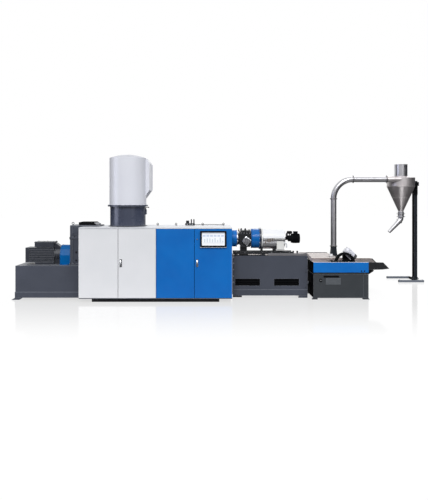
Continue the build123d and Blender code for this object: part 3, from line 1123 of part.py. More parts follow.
def cyclone():
    nodes = {}
    wall = CYCLONE_WALL
    profile = [(EXHAUST_RADIUS - wall, CYCLONE_TOP), (EXHAUST_RADIUS, CYCLONE_TOP),
               (CYCLONE_RADIUS, CYCLONE_SHOULDER), (CYCLONE_RADIUS, CONE_TOP), (OUTLET_RADIUS, CONE_BOTTOM),
               (OUTLET_RADIUS - wall, CONE_BOTTOM), (CYCLONE_RADIUS - wall, CONE_TOP),
               (CYCLONE_RADIUS - wall, CYCLONE_SHOULDER - wall), (EXHAUST_RADIUS - wall, CYCLONE_TOP - wall)]
    body = turned_z(profile, CYCLONE_X, CYCLONE_Y)
    body -= rod_x(CYCLONE_X - CYCLONE_RADIUS, CYCLONE_X, PIPE_Y, PIPE_LEVEL, PIPE_RADIUS - PIPE_WALL)
    nodes["cyclone_body"] = body
    exhaust = pipe_z(CYCLONE_X, CYCLONE_Y, CYCLONE_TOP, EXHAUST_TOP, EXHAUST_RADIUS, wall)
    low_margin, high_margin = BEAD_END_MARGINS
    pitch = (EXHAUST_HEIGHT - low_margin - high_margin) / (BEAD_COUNT - 1)
    for i in range(BEAD_COUNT):
        z = CYCLONE_TOP + low_margin + i * pitch
        exhaust += pipe_z(CYCLONE_X, CYCLONE_Y, z, z + BEAD_WIDTH, EXHAUST_RADIUS + BEAD_PROUD,
                          BEAD_PROUD + wall)
    nodes["cyclone_exhaust"] = exhaust
    valve = pipe_z(CYCLONE_X, CYCLONE_Y, SPOUT_START, CONE_BOTTOM, OUTLET_VALVE_RADIUS,
                   OUTLET_VALVE_RADIUS - OUTLET_RADIUS + wall)
    for drop in VALVE_FLANGE_DROPS:
        low = CONE_BOTTOM - drop - VALVE_FLANGE_THICKNESS / 2
        valve += pipe_z(CYCLONE_X, CYCLONE_Y, low, low + VALVE_FLANGE_THICKNESS, VALVE_FLANGE_RADIUS,
                        VALVE_FLANGE_RADIUS - OUTLET_RADIUS + wall)
    nodes["outlet_valve"] = valve

    turn = atan2(CYCLONE_X - SPOUT_TIP_X, SPOUT_CORNER - SPOUT_TIP_LEVEL)
    bend_top = SPOUT_CORNER + SPOUT_BEND * tan(turn / 2)
    elbow = pipe_z(CYCLONE_X, CYCLONE_Y, bend_top, SPOUT_START, SPOUT_RADIUS, wall)
    section = Plane(origin=(CYCLONE_X, CYCLONE_Y, bend_top)) * (
        Circle(SPOUT_RADIUS) - Circle(SPOUT_RADIUS - wall))
    bend = revolve(section, axis=Axis((CYCLONE_X - SPOUT_BEND, CYCLONE_Y, bend_top), (0, 1, 0)),
                   revolution_arc=degrees(turn))
    nodes["spout_elbow"] = elbow + bend
    start_x = CYCLONE_X - SPOUT_BEND + SPOUT_BEND * cos(turn)
    start_z = bend_top - SPOUT_BEND * sin(turn)
    length = hypot(start_x - SPOUT_TIP_X, start_z - SPOUT_TIP_LEVEL)
    frame = Plane(origin=(start_x, CYCLONE_Y, start_z), z_dir=(-sin(turn), 0, -cos(turn)))
    nozzle = frame * Pos(0, 0, length / 2) * Cone(SPOUT_RADIUS, SPOUT_TIP_RADIUS, length)
    nozzle += frame * Pos(0, 0, SPOUT_RING) * Cylinder(SPOUT_RADIUS + SPOUT_RING, 2 * SPOUT_RING)
    nozzle -= frame * Pos(0, 0, length / 2) * Cone(SPOUT_RADIUS - wall, SPOUT_TIP_RADIUS - wall, length)
    nodes["spout_nozzle"] = nozzle

    half_x = POST_SIZE_X / 2
    half_y = POST_SIZE_Y / 2
    nodes["stand_post"] = block(POST_X - half_x, POST_X + half_x, POST_Y - half_y, POST_Y + half_y, 0, POST_TOP)
    rear_y = CYCLONE_Y + STAND_DEPTH
    bar = STAND_BAR / 2
    foot = [block(*STAND_FRONT_BAR, CYCLONE_Y - bar, CYCLONE_Y + bar, 0, STAND_BAR),
            block(*STAND_REAR_BAR, rear_y - bar, rear_y + bar, 0, STAND_BAR),
            block(POST_X - bar, POST_X + bar, CYCLONE_Y + bar, POST_Y - half_y, 0, STAND_BAR),
            block(POST_X - bar, POST_X + bar, POST_Y + half_y, rear_y - bar, 0, STAND_BAR)]
    nodes["stand_foot"] = Part() + foot
    arm_low = CONE_TOP + ARM_RISE
    arm_high = arm_low + ARM_HEIGHT
    arm = block(CYCLONE_X + CYCLONE_RADIUS - ARM_OVERLAP, POST_X, CYCLONE_Y - ARM_WIDTH_FRONT,
                POST_Y - half_y, arm_low, arm_high) - cyclone_outside()
    arm += block(POST_X - half_x, POST_X + half_x, POST_Y - half_y - ARM_PLATE_THICKNESS, POST_Y - half_y,
                 CONE_TOP - ARM_PLATE_DROP, arm_high)
    nodes["cyclone_bracket"] = arm
    return nodes


def roof_fittings():
    nodes = {}
    eyes = [eye_bolt(x, FITTINGS_Y, ROOF_TOP, EYE_BASE_RADIUS, EYE_BASE_HEIGHT, EYE_RING_RADIUS, EYE_RING_BAR)
            for x in EYE_STATIONS]
    nodes["roof_lifting_eyes"] = Part() + eyes
    top = ROOF_TOP + VALVE_BLOCK_HEIGHT
    depth = VALVE_BLOCK_DEPTH / 2
    valves = block(VALVE_BLOCK_LEFT, VALVE_BLOCK_LEFT + VALVE_BLOCK_LENGTH, FITTINGS_Y - depth,
                   FITTINGS_Y + depth, ROOF_TOP, top)
    for offset_x in VALVE_OFFSETS:
        valves += rod_z(VALVE_BLOCK_LEFT + offset_x, FITTINGS_Y, top, top + VALVE_HEIGHT, VALVE_RADIUS)
    coil_left = VALVE_BLOCK_LEFT + COIL_OFFSET
    depth = COIL_DEPTH / 2
    valves += block(coil_left, coil_left + COIL_LENGTH, FITTINGS_Y - depth, FITTINGS_Y + depth, top,
                    top + COIL_HEIGHT)
    nodes["roof_valve_block"] = valves
    return nodes


# What is welded, cast or bolted up into one piece with what carries it
MADE_IN_ONE = {
    "cabinet_floor": ("cabinet_centre_post",),
    "blue_door_handle": ("control_door_lock",),
    "extruder_bed": ("barrel_supports",),
    "extruder_barrel": ("feed_throat",),
    "compactor_drum": ("compactor_flange", "compactor_latch"),
    "motor_base": ("motor_base_feet",),
    "gearbox_housing": ("gearbox_top_cover",),
    "main_motor": ("motor_end_shield", "terminal_box", "motor_cable_cover"),
    "roof_valve_block": ("roof_lifting_eyes",),
    "screen_changer": ("screen_changer_pedestal",),
    "cutter_chamber": ("discharge_box",),
    "cutter_motor": ("cutter_handwheels",),
    "pelletizer_base": ("pelletizer_base_feet", "water_return_pipe"),
    "drip_tray": ("slurry_chute",),
    "sieve_deck": ("sieve_rear_board",),
    "arch_bracket": ("sieve_motor_bracket",),
    "blower_housing": ("blower_stand",),
    "cyclone_body": ("cyclone_inlet",),
    "outlet_valve": ("spout_elbow", "spout_nozzle"),
    "stand_post": ("stand_foot", "cyclone_bracket"),
}

os.makedirs("parts", exist_ok=True)
model = {}
for build in (cabinet, door_fittings, bed_and_barrel, compactor, drive, roof_fittings, extruder_outlet,
              cutter_carriage, pelletizer_base, tank_and_sieve, blower_and_pipe, cyclone):
    model.update(build())
for name, pieces in MADE_IN_ONE.items():
    for piece in pieces:
        model[name] += model.pop(piece)
for name, shape in model.items():
    export_step(shape, f"parts/{name}.step")
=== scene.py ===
from math import cos, pi, radians, sin

import bmesh
import bpy
import numpy as np
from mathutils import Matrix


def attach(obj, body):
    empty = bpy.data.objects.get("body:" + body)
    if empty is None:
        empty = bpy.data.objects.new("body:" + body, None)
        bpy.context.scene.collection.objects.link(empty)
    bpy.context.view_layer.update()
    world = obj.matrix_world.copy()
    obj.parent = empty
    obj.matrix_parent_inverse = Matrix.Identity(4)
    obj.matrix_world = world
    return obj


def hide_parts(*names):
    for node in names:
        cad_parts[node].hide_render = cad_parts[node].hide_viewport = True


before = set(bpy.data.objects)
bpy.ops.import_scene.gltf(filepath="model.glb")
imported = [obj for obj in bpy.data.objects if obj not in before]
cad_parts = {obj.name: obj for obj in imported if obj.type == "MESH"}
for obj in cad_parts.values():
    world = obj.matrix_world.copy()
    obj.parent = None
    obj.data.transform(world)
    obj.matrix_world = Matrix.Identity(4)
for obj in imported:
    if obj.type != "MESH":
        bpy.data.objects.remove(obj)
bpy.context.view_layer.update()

X, Y, Z = np.eye(3)

# Places and sizes of the line's machines, in metres. A span is (left, right) along X or (front, back)
# along Y, a front or back is a place along Y, and levels are (low, high) above the floor. AXIS is the level
# of the extruder's axis.
AXIS = 1.435
BED_TOP = 0.812

# Motor base, motor, coupling guard and gearbox
MOTOR_BASE_SPAN = (-3.382, -1.786)
SKIRT_FRONT = -0.4925
SKIRT_TOP = 0.19
MOTOR_AXIS = 1.041
MOTOR_SPAN = (-3.231, -2.54)
SHIELD_RIGHT = -2.372
GUARD_SPAN = (-2.372, -2.125)
GUARD_RADIUS = 0.245
GEARBOX_LEFT = -2.113
GEARBOX_HALF = 0.3
GEARBOX_SPLIT = 1.46
GEARBOX_TOP = 1.77
TOP_COVER_SPAN = (-1.908, -1.471)
TOP_COVER_HALF = 0.262
TOP_COVER_TOP = 1.8425

# Cabinet with its doors, handles and touch panel
CABINET_X = 1.785
CABINET_BACK = 0.7
ROOF_TOP = 1.738
DOORS = ("white_door_left", "white_door_right", "blue_door_left", "blue_door_right")
DOOR_SEAMS = (-1.785, -0.868, 0.016, 0.909, 1.785)
DOOR_LEVELS = (0.1, 1.706)
DOOR_BACK = -0.77
HANDLE_FRONT = -0.814
HANDLE_LEVELS = (0.838, 0.985)
PANEL_SPAN = (1.0425, 1.6565)
PANEL_FRONT = -0.8449
PANEL_FOOT = 1.285
SCREEN_SPAN = (1.0845, 1.6145)
SCREEN_FRONT = -0.843
SCREEN_TOP = 1.622
VENT_MIDDLES = (-1.32, -0.42, 0.46, 1.35)
VENT_LEVELS = (1.2, 1.5)
AIR_LINE_BACK = 0.4
AIR_LINE_LEVEL = 1.76

# Compactor on the roof: drum, hood and feed chute
DRUM = np.array([-0.758, 0.0])
HOOD_RADIUS = 0.45
HOOD_LEVELS = (2.256, 3.41)
CHUTE_RIGHT = -0.224
CHUTE_REAR = 0.56
CHUTE_LEVELS = (2.62, 3.285)

# Extruder's outlet: barrel guard, collar, screen changer, heater and die bell
BARREL_GUARD_SPAN = (1.787, 1.924)
COLLAR_SPAN = (1.925, 1.99)
CHANGER_SPAN = (1.99, 2.278)
CHANGER_FRONT = -0.18
CHANGER_LEVELS = (1.235, 1.635)
HEATER_CENTRE = (2.154, -0.21, 1.383)
HEATER_HALF = (0.088, 0.033, 0.088)
HEATER_TILT = 38
BELL_SPAN = (2.278, 2.478)
BELL_RADIUS = 0.238

# Cutter carriage
CHAMBER_SPAN = (2.5235, 3.0885)
CHAMBER_RADIUS = 0.252
OUTLET_BOX_SPAN = (2.8885, 3.0615)
CUTTER_MOTOR_SPAN = (3.2645, 3.4745)
KNOB = np.array([3.227, 0, 1.58])

# Pelletizer base with its louvred slots, drip tray and rails
BASE_SPAN = (1.827, 3.64)
BASE_FRONT = -0.2
SLOT_STARTS = (1.876, 2.825)
SLOT_LENGTH = 0.608
SLOT_LEVELS = (0.295, 0.465)
SPLASH_LEFT = 2.68
RAIL_SCREW_SIDE = 0.19
RAIL_SCREW_LEVEL = 1.105
STOP_PLACES = (3.3195, 3.4195)
STOP_TOP = 1.117

# Sieve with its tank, the water tank behind it and the vibration motor
TANK_SPAN = (3.745, 5.063)
TANK_FRONT = -0.43
TANK_BACK = 0.51
TANK_TOP = 0.612
BOARD_FOOT = 0.646
BOARD_TOP = 0.892
DECK_LEVEL = 0.76
REAR_BOARD_FRONT = 0.489
SPOUT_TOP_END = 5.37
SPOUT_FOOT_END = 5.4
SPOUT_LIP = 5.49
REAR_TANK_RIGHT = 4.56
REAR_TANK_BACK = 1.98
SIEVE_MOTOR = np.array([4.746, 0.13, 1.035])
SIEVE_MOTOR_RADIUS = 0.098
SIEVE_MOTOR_HALF = 0.165

# Blower
BLOWER_X = 4.97
BLOWER_LEVEL = 0.43
BLOWER_SPAN = (2.005, 2.195)
BLOWER_MOTOR_BACK = 2.575

# Conveying pipe: its riser stands at PIPE
PIPE = np.array([4.765, 2.1])
PIPE_RADIUS = 0.081
PIPE_FLANGE_RADIUS = 0.102
PIPE_LEVEL = 2.968
PIPE_BEND = 0.555
RISER_SPAN = (1.072, 2.413)
INLET_X = 6.271

# Cyclone with its exhaust, outlet valve, post and foot
CYCLONE = np.array([6.778, 2.4])
CYCLONE_RADIUS = 0.391
CYCLONE_TOP = 3.061
BODY_SEAM = 3.018
CONE_SPAN = (2.047, 2.771)
OUTLET_RADIUS = 0.068
VALVE_FLANGES = (1.899, 1.996)
EXHAUST_RADIUS = 0.183
EXHAUST_TOP = 3.409
EXHAUST_JOINT = 3.23
POST = np.array([7.296, 2.72])
POST_HALF = (0.0455, 0.09)
POST_TOP = 2.937
FOOT_HALF = 0.03
# Left end, right end and middle line of the front and rear bars
FOOT_BARS = ((6.71, 7.443, 2.4), (6.617, 7.32, 3.2))

# The photograph's camera
EYE = (1.365, -13.8, 2.38)
FOCAL_LENGTH = 40.25
SENSOR = 36
VIEW_SHIFT = -0.1


def linear(code):
    """sRGB hex value to linear colour."""
    value = np.array([int(code[i:i + 2], 16) for i in (1, 3, 5)]) / 255
    value = np.where(value <= 0.04045, value / 12.92, ((value + 0.055) / 1.055) ** 2.4)
    return (*value, 1.0)


def add(tree, kind, sockets=None, **settings):
    """Adds a node: settings are its own properties. Sockets go by name or number, and each holds a value, an
    output to link or a node, whose first output is linked."""
    node = tree.nodes.new(kind)
    for key, value in settings.items():
        setattr(node, key, value)
    for key, value in (sockets or {}).items():
        if isinstance(value, bpy.types.Node):
            value = value.outputs[0]
        if isinstance(value, bpy.types.NodeSocket):
            tree.links.new(value, node.inputs[key])
        else:
            node.inputs[key].default_value = value
    return node


def finish(name, slot, roughness, metallic=0.0, specular=0.5):
    """Empty material with its shader's plain values: returns it, its tree, shader and Object coordinates."""
    material = bpy.data.materials.new(name)
    material.use_nodes = True
    material["slot"] = slot
    tree = material.node_tree
    shader = tree.nodes["Principled BSDF"]
    shader.inputs["Roughness"].default_value = roughness
    shader.inputs["Metallic"].default_value = metallic
    shader.inputs["Specular IOR Level"].default_value = specular
    place = add(tree, "ShaderNodeTexCoord").outputs["Object"]
    return material, tree, shader, place


def mottled(tree, place, size, low, high):
    """Colour that drifts between two hex values in patches of a size in metres."""
    patches = add(tree, "ShaderNodeTexNoise", {"Vector": place, "Scale": 1 / size, "Detail": 3.0})
    share = add(tree, "ShaderNodeMapRange", {"Value": patches, "From Min": 0.25, "From Max": 0.75})
    mix = add(tree, "ShaderNodeMix", {0: share, 6: linear(low), 7: linear(high)}, data_type="RGBA")
    return mix.outputs[2]


def pebbled(tree, shader, place, size, depth, roughness, spread):
    """Fine bumps of a size and depth in metres, with the roughness drifting about its value."""
    grain = add(tree, "ShaderNodeTexNoise", {"Vector": place, "Scale": 1 / size, "Detail": 2.0})
    bump = add(tree, "ShaderNodeBump", {"Height": grain, "Distance": depth, "Strength": 1.0})
    drift = add(tree, "ShaderNodeTexNoise", {"Vector": place, "Scale": 5.0, "Detail": 4.0})
    rough = add(tree, "ShaderNodeMapRange", {"Value": drift, "From Min": 0.3, "From Max": 0.7,
                                             "To Min": roughness - spread, "To Max": roughness + spread})
    tree.links.new(bump.outputs[0], shader.inputs["Normal"])
    tree.links.new(rough.outputs[0], shader.inputs["Roughness"])


def powder_coat(name, slot, main, shade, roughness=0.42, specular=0.4, dust_and_top_light=0.0, edge=0.0):
    """Baked powder paint on sheet steel.

    It looks even from afar, with a slow drift in tone over 0.7 m, orange peel of about 4 mm, drawn at 9 mm so
    that it shows, a paler tone on faces that look up, partly dust and partly painted light, and a paler line
    along edges, partly coat worn thin and partly a painted edge highlight.
    """
    material, tree, shader, place = finish(name, slot, roughness, specular=specular)
    colour = mottled(tree, place, 0.7, main, shade)
    geometry = add(tree, "ShaderNodeNewGeometry")
    # Paler on faces that look up: dust, and painted light on tops as if lit from above
    if dust_and_top_light:
        facing = add(tree, "ShaderNodeSeparateXYZ", {0: geometry.outputs["Normal"]})
        specks = add(tree, "ShaderNodeTexNoise", {"Vector": place, "Scale": 14.0, "Detail": 5.0})
        lying = add(tree, "ShaderNodeMath", {0: facing.outputs[2], 1: specks},
                    operation="MULTIPLY", use_clamp=True)
        amount = add(tree, "ShaderNodeMath", {0: lying, 1: dust_and_top_light}, operation="MULTIPLY")
        colour = add(tree, "ShaderNodeMix", {0: amount, 6: colour, 7: linear("#B9BBBF")},
                     data_type="RGBA").outputs[2]
    # Paler along edges: coat worn thin, and a painted highlight where edges catch the light
    if edge:
        rounded = add(tree, "ShaderNodeBevel", {"Radius": 0.012}, samples=4)
        along = add(tree, "ShaderNodeVectorMath", {0: rounded, 1: geometry.outputs["Normal"]},
                    operation="DOT_PRODUCT")
        thin = add(tree, "ShaderNodeMapRange", {"Value": along.outputs["Value"], "From Min": 0.995,
                                                "From Max": 0.85, "To Max": edge})
        colour = add(tree, "ShaderNodeMix", {0: thin, 6: colour, 7: linear("#9EA2AA")},
                     data_type="RGBA").outputs[2]
    tree.links.new(colour, shader.inputs["Base Color"])
    pebbled(tree, shader, place, 0.009, 0.0004, roughness, 0.06)
    return material


def gloss_enamel(name, slot, main, shade):
    """Two-pack gloss enamel on turned steel: a deep colour under a hard, clear shine."""
    material, tree, shader, place = finish(name, slot, 0.24)
    tree.links.new(mottled(tree, place, 0.3, main, shade), shader.inputs["Base Color"])
    shader.inputs["Coat Weight"].default_value = 0.6
    shader.inputs["Coat Roughness"].default_value = 0.08
    pebbled(tree, shader, place, 0.012, 0.0003, 0.24, 0.05)
    return material


def brushed_stainless(name, along, main="#E4E4E8", shade="#CCCCD0", roughness=0.3):
    """Stainless sheet, ground with a belt.

    Scratches of about 0.2 mm, drawn 2 mm wide and 400 mm long so that they show, run along one axis and
    break the shine into streaks. Broad patches of tone are the sheet's slight waves.
    """
    material, tree, shader, place = finish(name, "stainless", roughness, metallic=1.0)
    stretch = tuple(2.5 if axis == along else 500.0 for axis in range(3))
    lengthened = add(tree, "ShaderNodeMapping", {"Vector": place, "Scale": stretch})
    scratches = add(tree, "ShaderNodeTexNoise",
                    {"Vector": lengthened, "Scale": 1.0, "Detail": 2.0})
    base = mottled(tree, place, 0.22, main, shade)
    share = add(tree, "ShaderNodeMapRange",
                {"Value": scratches, "From Min": 0.35, "From Max": 0.75, "To Max": 0.25})
    colour = add(tree, "ShaderNodeMix", {0: share, 6: base, 7: linear("#6D6A6A")},
                 data_type="RGBA")
    tree.links.new(colour.outputs[2], shader.inputs["Base Color"])
    rough = add(tree, "ShaderNodeMapRange", {"Value": scratches, "From Min": 0.3, "From Max": 0.7,
                                             "To Min": roughness - 0.04, "To Max": roughness + 0.06})
    tree.links.new(rough.outputs[0], shader.inputs["Roughness"])
    bump = add(tree, "ShaderNodeBump", {"Height": scratches, "Distance": 0.0001, "Strength": 0.4})
    tree.links.new(bump.outputs[0], shader.inputs["Normal"])
    return material


def bare_metal(name, slot, main, shade, roughness, grain=0.004, depth=0.0002):
    """Turned, plated or cast metal without paint: an even sheen with handling marks of a few centimetres."""
    material, tree, shader, place = finish(name, slot, roughness, metallic=1.0)
    tree.links.new(mottled(tree, place, 0.05, main, shade), shader.inputs["Base Color"])
    pebbled(tree, shader, place, grain, depth, roughness, 0.09)
    return material


def moulded(name, slot, main, shade, roughness=0.45, specular=0.4):
    """Moulded plastic or rubber with spark-eroded grain of about 1 mm, drawn at 3 mm."""
    material, tree, shader, place = finish(name, slot, roughness, specular=specular)
    tree.links.new(mottled(tree, place, 0.04, main, shade), shader.inputs["Base Color"])
    pebbled(tree, shader, place, 0.003, 0.00015, roughness, 0.06)
    return material


def lit_screen():
    """Touch screen that is switched on: a pale page behind bonded glass, a little darker to one side."""
    material, tree, shader, place = finish("bonded_screen_glass", "screen_glass", 0.12)
    page = mottled(tree, place, 0.5, "#EDF0F4", "#DFE4EA")
    tree.links.new(page, shader.inputs["Base Color"])
    tree.links.new(page, shader.inputs["Emission Color"])
    shader.inputs["Emission Strength"].default_value = 0.12
    shader.inputs["Coat Weight"].default_value = 0.3
    shader.inputs["Coat Roughness"].default_value = 0.05
    return material


# White powder coat on doors, hood and guard: even satin with soft broad lights; the hood's roof takes a
# greyer copy, painted shade that holds down a top lit more from above
WHITE = powder_coat("white_powder_coat", "white_paint", "#D8D9DD", "#D2D4D8", roughness=0.38)
GUARD_WHITE = powder_coat("guard_white_powder_coat", "white_paint", "#DEDFE3", "#D6D8DC", roughness=0.35)
HOOD_WHITE = powder_coat("hood_white_powder_coat", "white_paint", "#D6D8E0", "#D1D3DC", roughness=0.33)
# Painted shade: the hood's white made greyer for the roof, which faces the light
ROOF_SHADED_WHITE = powder_coat("hood_roof_powder_coat", "white_paint", "#B8BAC2", "#B0B2BB")

# Blue paint: a full colour with little shine on sheet, and a tighter light on the turned bell
BLUE = powder_coat("blue_powder_coat", "blue_paint", "#0568B8", "#055CAB", roughness=0.4, specular=0.22)
GUARD_BLUE = powder_coat("guard_blue_enamel", "blue_paint", "#005A9C", "#004F8A", roughness=0.3, specular=0.1)
BELL_BLUE = powder_coat("bell_blue_enamel", "blue_paint", "#0462AE", "#03569C", roughness=0.2, specular=0.3)
NAVY = gloss_enamel("navy_gloss_enamel", "navy_paint", "#14233F", "#101B33")

# Slate and grey paint on bases, frames and tanks: dull, paler on top from dust and painted light, and paler
# along edges from wear and a painted edge highlight
SLATE = powder_coat("slate_powder_coat", "grey_paint", "#444853", "#3E424C",
                    specular=0.22, dust_and_top_light=0.35, edge=0.45)
POST_SLATE = powder_coat("dark_slate_powder_coat", "grey_paint", "#1C2027", "#181C22",
                         specular=0.15, edge=0.3)
DRUM_SLATE = powder_coat("drum_slate_powder_coat", "grey_paint", "#3E4455", "#373C4C",
                         roughness=0.3, specular=0.5, edge=0.3)
FOOT_SLATE = powder_coat("foot_slate_powder_coat", "grey_paint", "#6C727C", "#646A74", specular=0.2)
HINGE_GREY = powder_coat("hinge_grey_enamel", "grey_paint", "#7C736E", "#5F5853")
TANK_GREY = powder_coat("tank_grey_powder_coat", "tank_paint", "#393C40", "#32363A",
                        specular=0.2, dust_and_top_light=0.3, edge=0.4)
PANEL_GREY = powder_coat("panel_grey_powder_coat", "tank_paint", "#5A5E63", "#52565B", specular=0.2)

# Pale paint on trims, chamber and motor: a clear edge to the eye beside the dark bases
TRIM = powder_coat("silver_trim_powder_coat", "trim_paint", "#D3D5DA", "#C6C8CE", roughness=0.35)
PALE_GREY = powder_coat("pale_grey_powder_coat", "trim_paint", "#D8D8DB", "#CECEC9", roughness=0.4)
SILVER = powder_coat("silver_motor_enamel", "cast_aluminium", "#DEDFE7", "#CDCED7", roughness=0.35, edge=0.3)

# Black paint: dull on plinth and brackets, with paler tops and edges on the motors and the screen changer,
# partly dust and wear and partly painted light
PLINTH = powder_coat("black_plinth_paint", "plinth_paint", "#131416", "#1A1B1E", specular=0.2)
BLACK = powder_coat("black_powder_coat", "black_paint", "#17181B", "#1E1F23",
                    specular=0.3, dust_and_top_light=0.25, edge=0.3)
CHARCOAL = powder_coat("charcoal_motor_enamel", "black_paint", "#22252C", "#2A2D35",
                       roughness=0.45, specular=0.3, dust_and_top_light=0.35, edge=0.3)
# Matt black also serves as painted shade: sheets on the sieve's unlit left sides, the pelletizer's slot
# blades and backs, the block over the tank's slot and the stand post's body
MATT_BLACK = powder_coat("matt_black_powder_coat", "black_paint", "#0C0D0F", "#101113",
                         roughness=0.8, specular=0.04)

# Stainless sheet: the ground streaks run up on upright pipes, along on level ones, and back on the cover
STEEL_UPRIGHT = brushed_stainless("brushed_stainless_upright", 2)
# Darker copy for level parts: painted shade that holds down the lit tops of the level pipe, shells and strips
STEEL_LEVEL = brushed_stainless("brushed_stainless_level", 0, main="#CDCDD1", shade="#AEAEB2")
# Warm tint on the cone, trough and cover copies: a painted reflection of a warm room; the cover copy is also
# darker, painted shade for its lit top
CONE_STEEL = brushed_stainless("cone_stainless", 2, main="#DAD5D5", shade="#C0BBBC", roughness=0.42)
TROUGH_STEEL = brushed_stainless("trough_stainless", 0, main="#CDC4C1", shade="#B3ABAA", roughness=0.36)
COVER_STEEL = brushed_stainless("cover_stainless", 1, main="#A9A19E", shade="#8E8683", roughness=0.4)

# Turned, plated and cast metal: small parts that catch a point of light
MACHINED = bare_metal("machined_steel", "machined_steel", "#A9ABB0", "#8E9096", 0.32)
ZINC = bare_metal("zinc_plated_steel", "machined_steel", "#BFC1C4", "#A8ABAF", 0.38)
BLACK_OXIDE = bare_metal("black_oxide_steel", "machined_steel", "#3A3B3F", "#2C2D31", 0.4)
BRASS = bare_metal("turned_brass", "machined_steel", "#C9A560", "#A98443", 0.3)
BRONZE = bare_metal("heat_tinted_steel_edge", "machined_steel", "#8A6A55", "#6E5546", 0.4)
CAST = bare_metal("cast_aluminium", "cast_aluminium", "#C9CBD0", "#B2B4BB", 0.42, grain=0.006, depth=0.0006)
FOIL = bare_metal("crumpled_foil", "cast_aluminium", "#D8DADE", "#A9ACB2", 0.25, grain=0.012, depth=0.0012)

# Moulded plastic and rubber: the darkest spots of the line, nearly without shine
PLASTIC = moulded("black_moulded_plastic", "black_plastic", "#0B0C0D", "#101113", specular=0.15)
RUBBER = moulded("black_rubber", "rubber", "#131313", "#1B1B1B", roughness=0.7)

# Touch screen and the faint marks on its page, a tone or two below the page
SCREEN = lit_screen()
SCREEN_SLATE = moulded("screen_slate_mark", "screen_glass", "#CBD1DC", "#C6CDD9", roughness=0.15)
SCREEN_BLUE = moulded("screen_blue_mark", "screen_glass", "#C9D4E8", "#C4D0E6", roughness=0.15)
SCREEN_PALE = moulded("screen_pale_mark", "screen_glass", "#D3DDE6", "#CFDAE3", roughness=0.15)

# The finish of every piece that comes from the CAD part
NODE_FINISH = {
    WHITE: ("white_door_left", "white_door_right"),
    HOOD_WHITE: ("hood_shell", "feed_chute"),
    ROOF_SHADED_WHITE: ("hood_roof",),
    BLUE: ("blue_door_left", "blue_door_right", "sieve_front_board", "barrel_guard"),
    GUARD_BLUE: ("coupling_guard",),
    BELL_BLUE: ("die_bell",),
    NAVY: ("die_flange",),
    SLATE: ("motor_base", "gearbox_housing", "pelletizer_base", "extruder_bed",
            "cabinet_left_wall", "cabinet_right_wall", "cabinet_back_wall", "cabinet_floor"),
    DRUM_SLATE: ("compactor_drum",),
    POST_SLATE: ("outlet_transition",),
    TANK_GREY: ("sieve_tank", "water_tank", "blower_housing"),
    TRIM: ("cabinet_roof",),
    PLINTH: ("cabinet_plinth",),
    BLACK: ("screen_changer", "carriage_legs", "sieve_spout", "slide_rails", "roof_valve_block"),
    # The stand post is matt black: painted shade for its unlit sides, under a dark slate front plate
    MATT_BLACK: ("arch_bracket", "cutter_motor", "stand_post"),
    CHARCOAL: ("main_motor", "blower_motor"),
    PALE_GREY: ("cutter_chamber",),
    STEEL_UPRIGHT: ("riser_pipe", "cyclone_exhaust", "outlet_valve"),
    STEEL_LEVEL: ("level_pipe", "pipe_elbow", "barrel_collar", "suction_duct"),
    CONE_STEEL: ("cyclone_body",),
    TROUGH_STEEL: ("drip_tray", "sieve_deck"),
    COVER_STEEL: ("water_tank_cover",),
    MACHINED: ("extruder_barrel", "blue_door_handle"),
    CAST: ("screen_changer_block",),
    SILVER: ("vibration_motor",),
    PLASTIC: ("white_door_handle", "touch_panel_housing"),
    RUBBER: ("sieve_rubber_mounts",),
    SCREEN: ("touch_panel_screen",),
}
for material, names in NODE_FINISH.items():
    for name in names:
        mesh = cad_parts[name].data
        mesh.materials.clear()
        mesh.materials.append(material)


def sides_of(axis):
    """Two unit vectors square to an axis: for an upright axis X and Y, and otherwise one of them is level."""
    side = X if abs(axis[2]) > 0.9 else np.cross(Z, axis)
    side = side / np.linalg.norm(side)
    return side, np.cross(axis, side)


def skin(rings, loop=False):
    """Skin over a stack of rings: point (i, j) is point j of ring i, and four corners join each point to the
    next on its ring and on the next ring. A flat face closes each end, unless the last ring leads to the
    first."""
    count, around = rings.shape[:2]
    i = np.arange(count if loop else count - 1)[:, None]
    j = np.arange(around)[None, :]
    right, up = (j + 1) % around, (i + 1) % count
    quads = np.stack([i * around + j, i * around + right, up * around + right, up * around + j], -1)
    corners, sizes = quads.ravel(), np.full(quads.size // 4, 4)
    if not loop:
        ends = np.concatenate([np.arange(around)[::-1], (count - 1) * around + np.arange(around)])
        corners, sizes = np.concatenate([corners, ends]), np.concatenate([sizes, [around, around]])
    return rings.reshape(-1, 3), corners, sizes


def joined(forms):
    """One form of several: each one's corner numbers start where the last one's points end."""
    starts = np.cumsum([0] + [len(points) for points, _, _ in forms])
    points = np.concatenate([form[0] for form in forms])
    corners = np.concatenate([form[1] + start for form, start in zip(forms, starts)])
    return points, corners, np.concatenate([form[2] for form in forms])


def repeated(form, places):
    """The form once at every place: its points plus each place."""
    points, corners, sizes = form
    places = np.asarray(places, float).reshape(-1, 3)
    numbers = corners[None] + len(points) * np.arange(len(places))[:, None]
    return (points[None] + places[:, None]).reshape(-1, 3), numbers.ravel(), np.tile(sizes, len(places))


def turned_about(form, centre, axis, angles):
    """The form once at every angle about an axis: p cos a + (axis x p) sin a + axis (axis . p)(1 - cos a)."""
    points, corners, sizes = form
    out = points - centre
    angles = np.asarray(angles, float).reshape(-1, 1, 1)
    along = (out @ axis)[:, None] * axis
    spun = out * np.cos(angles) + np.cross(axis, out) * np.sin(angles) + along * (1 - np.cos(angles))
    numbers = corners[None] + len(points) * np.arange(len(angles))[:, None]
    return (spun + centre).reshape(-1, 3), numbers.ravel(), np.tile(sizes, len(angles))


def spots(x, y, z):
    """Places at every mix of the given values on the three axes."""
    return np.stack(np.meshgrid(x, y, z, indexing="ij"), -1).reshape(-1, 3).astype(float)


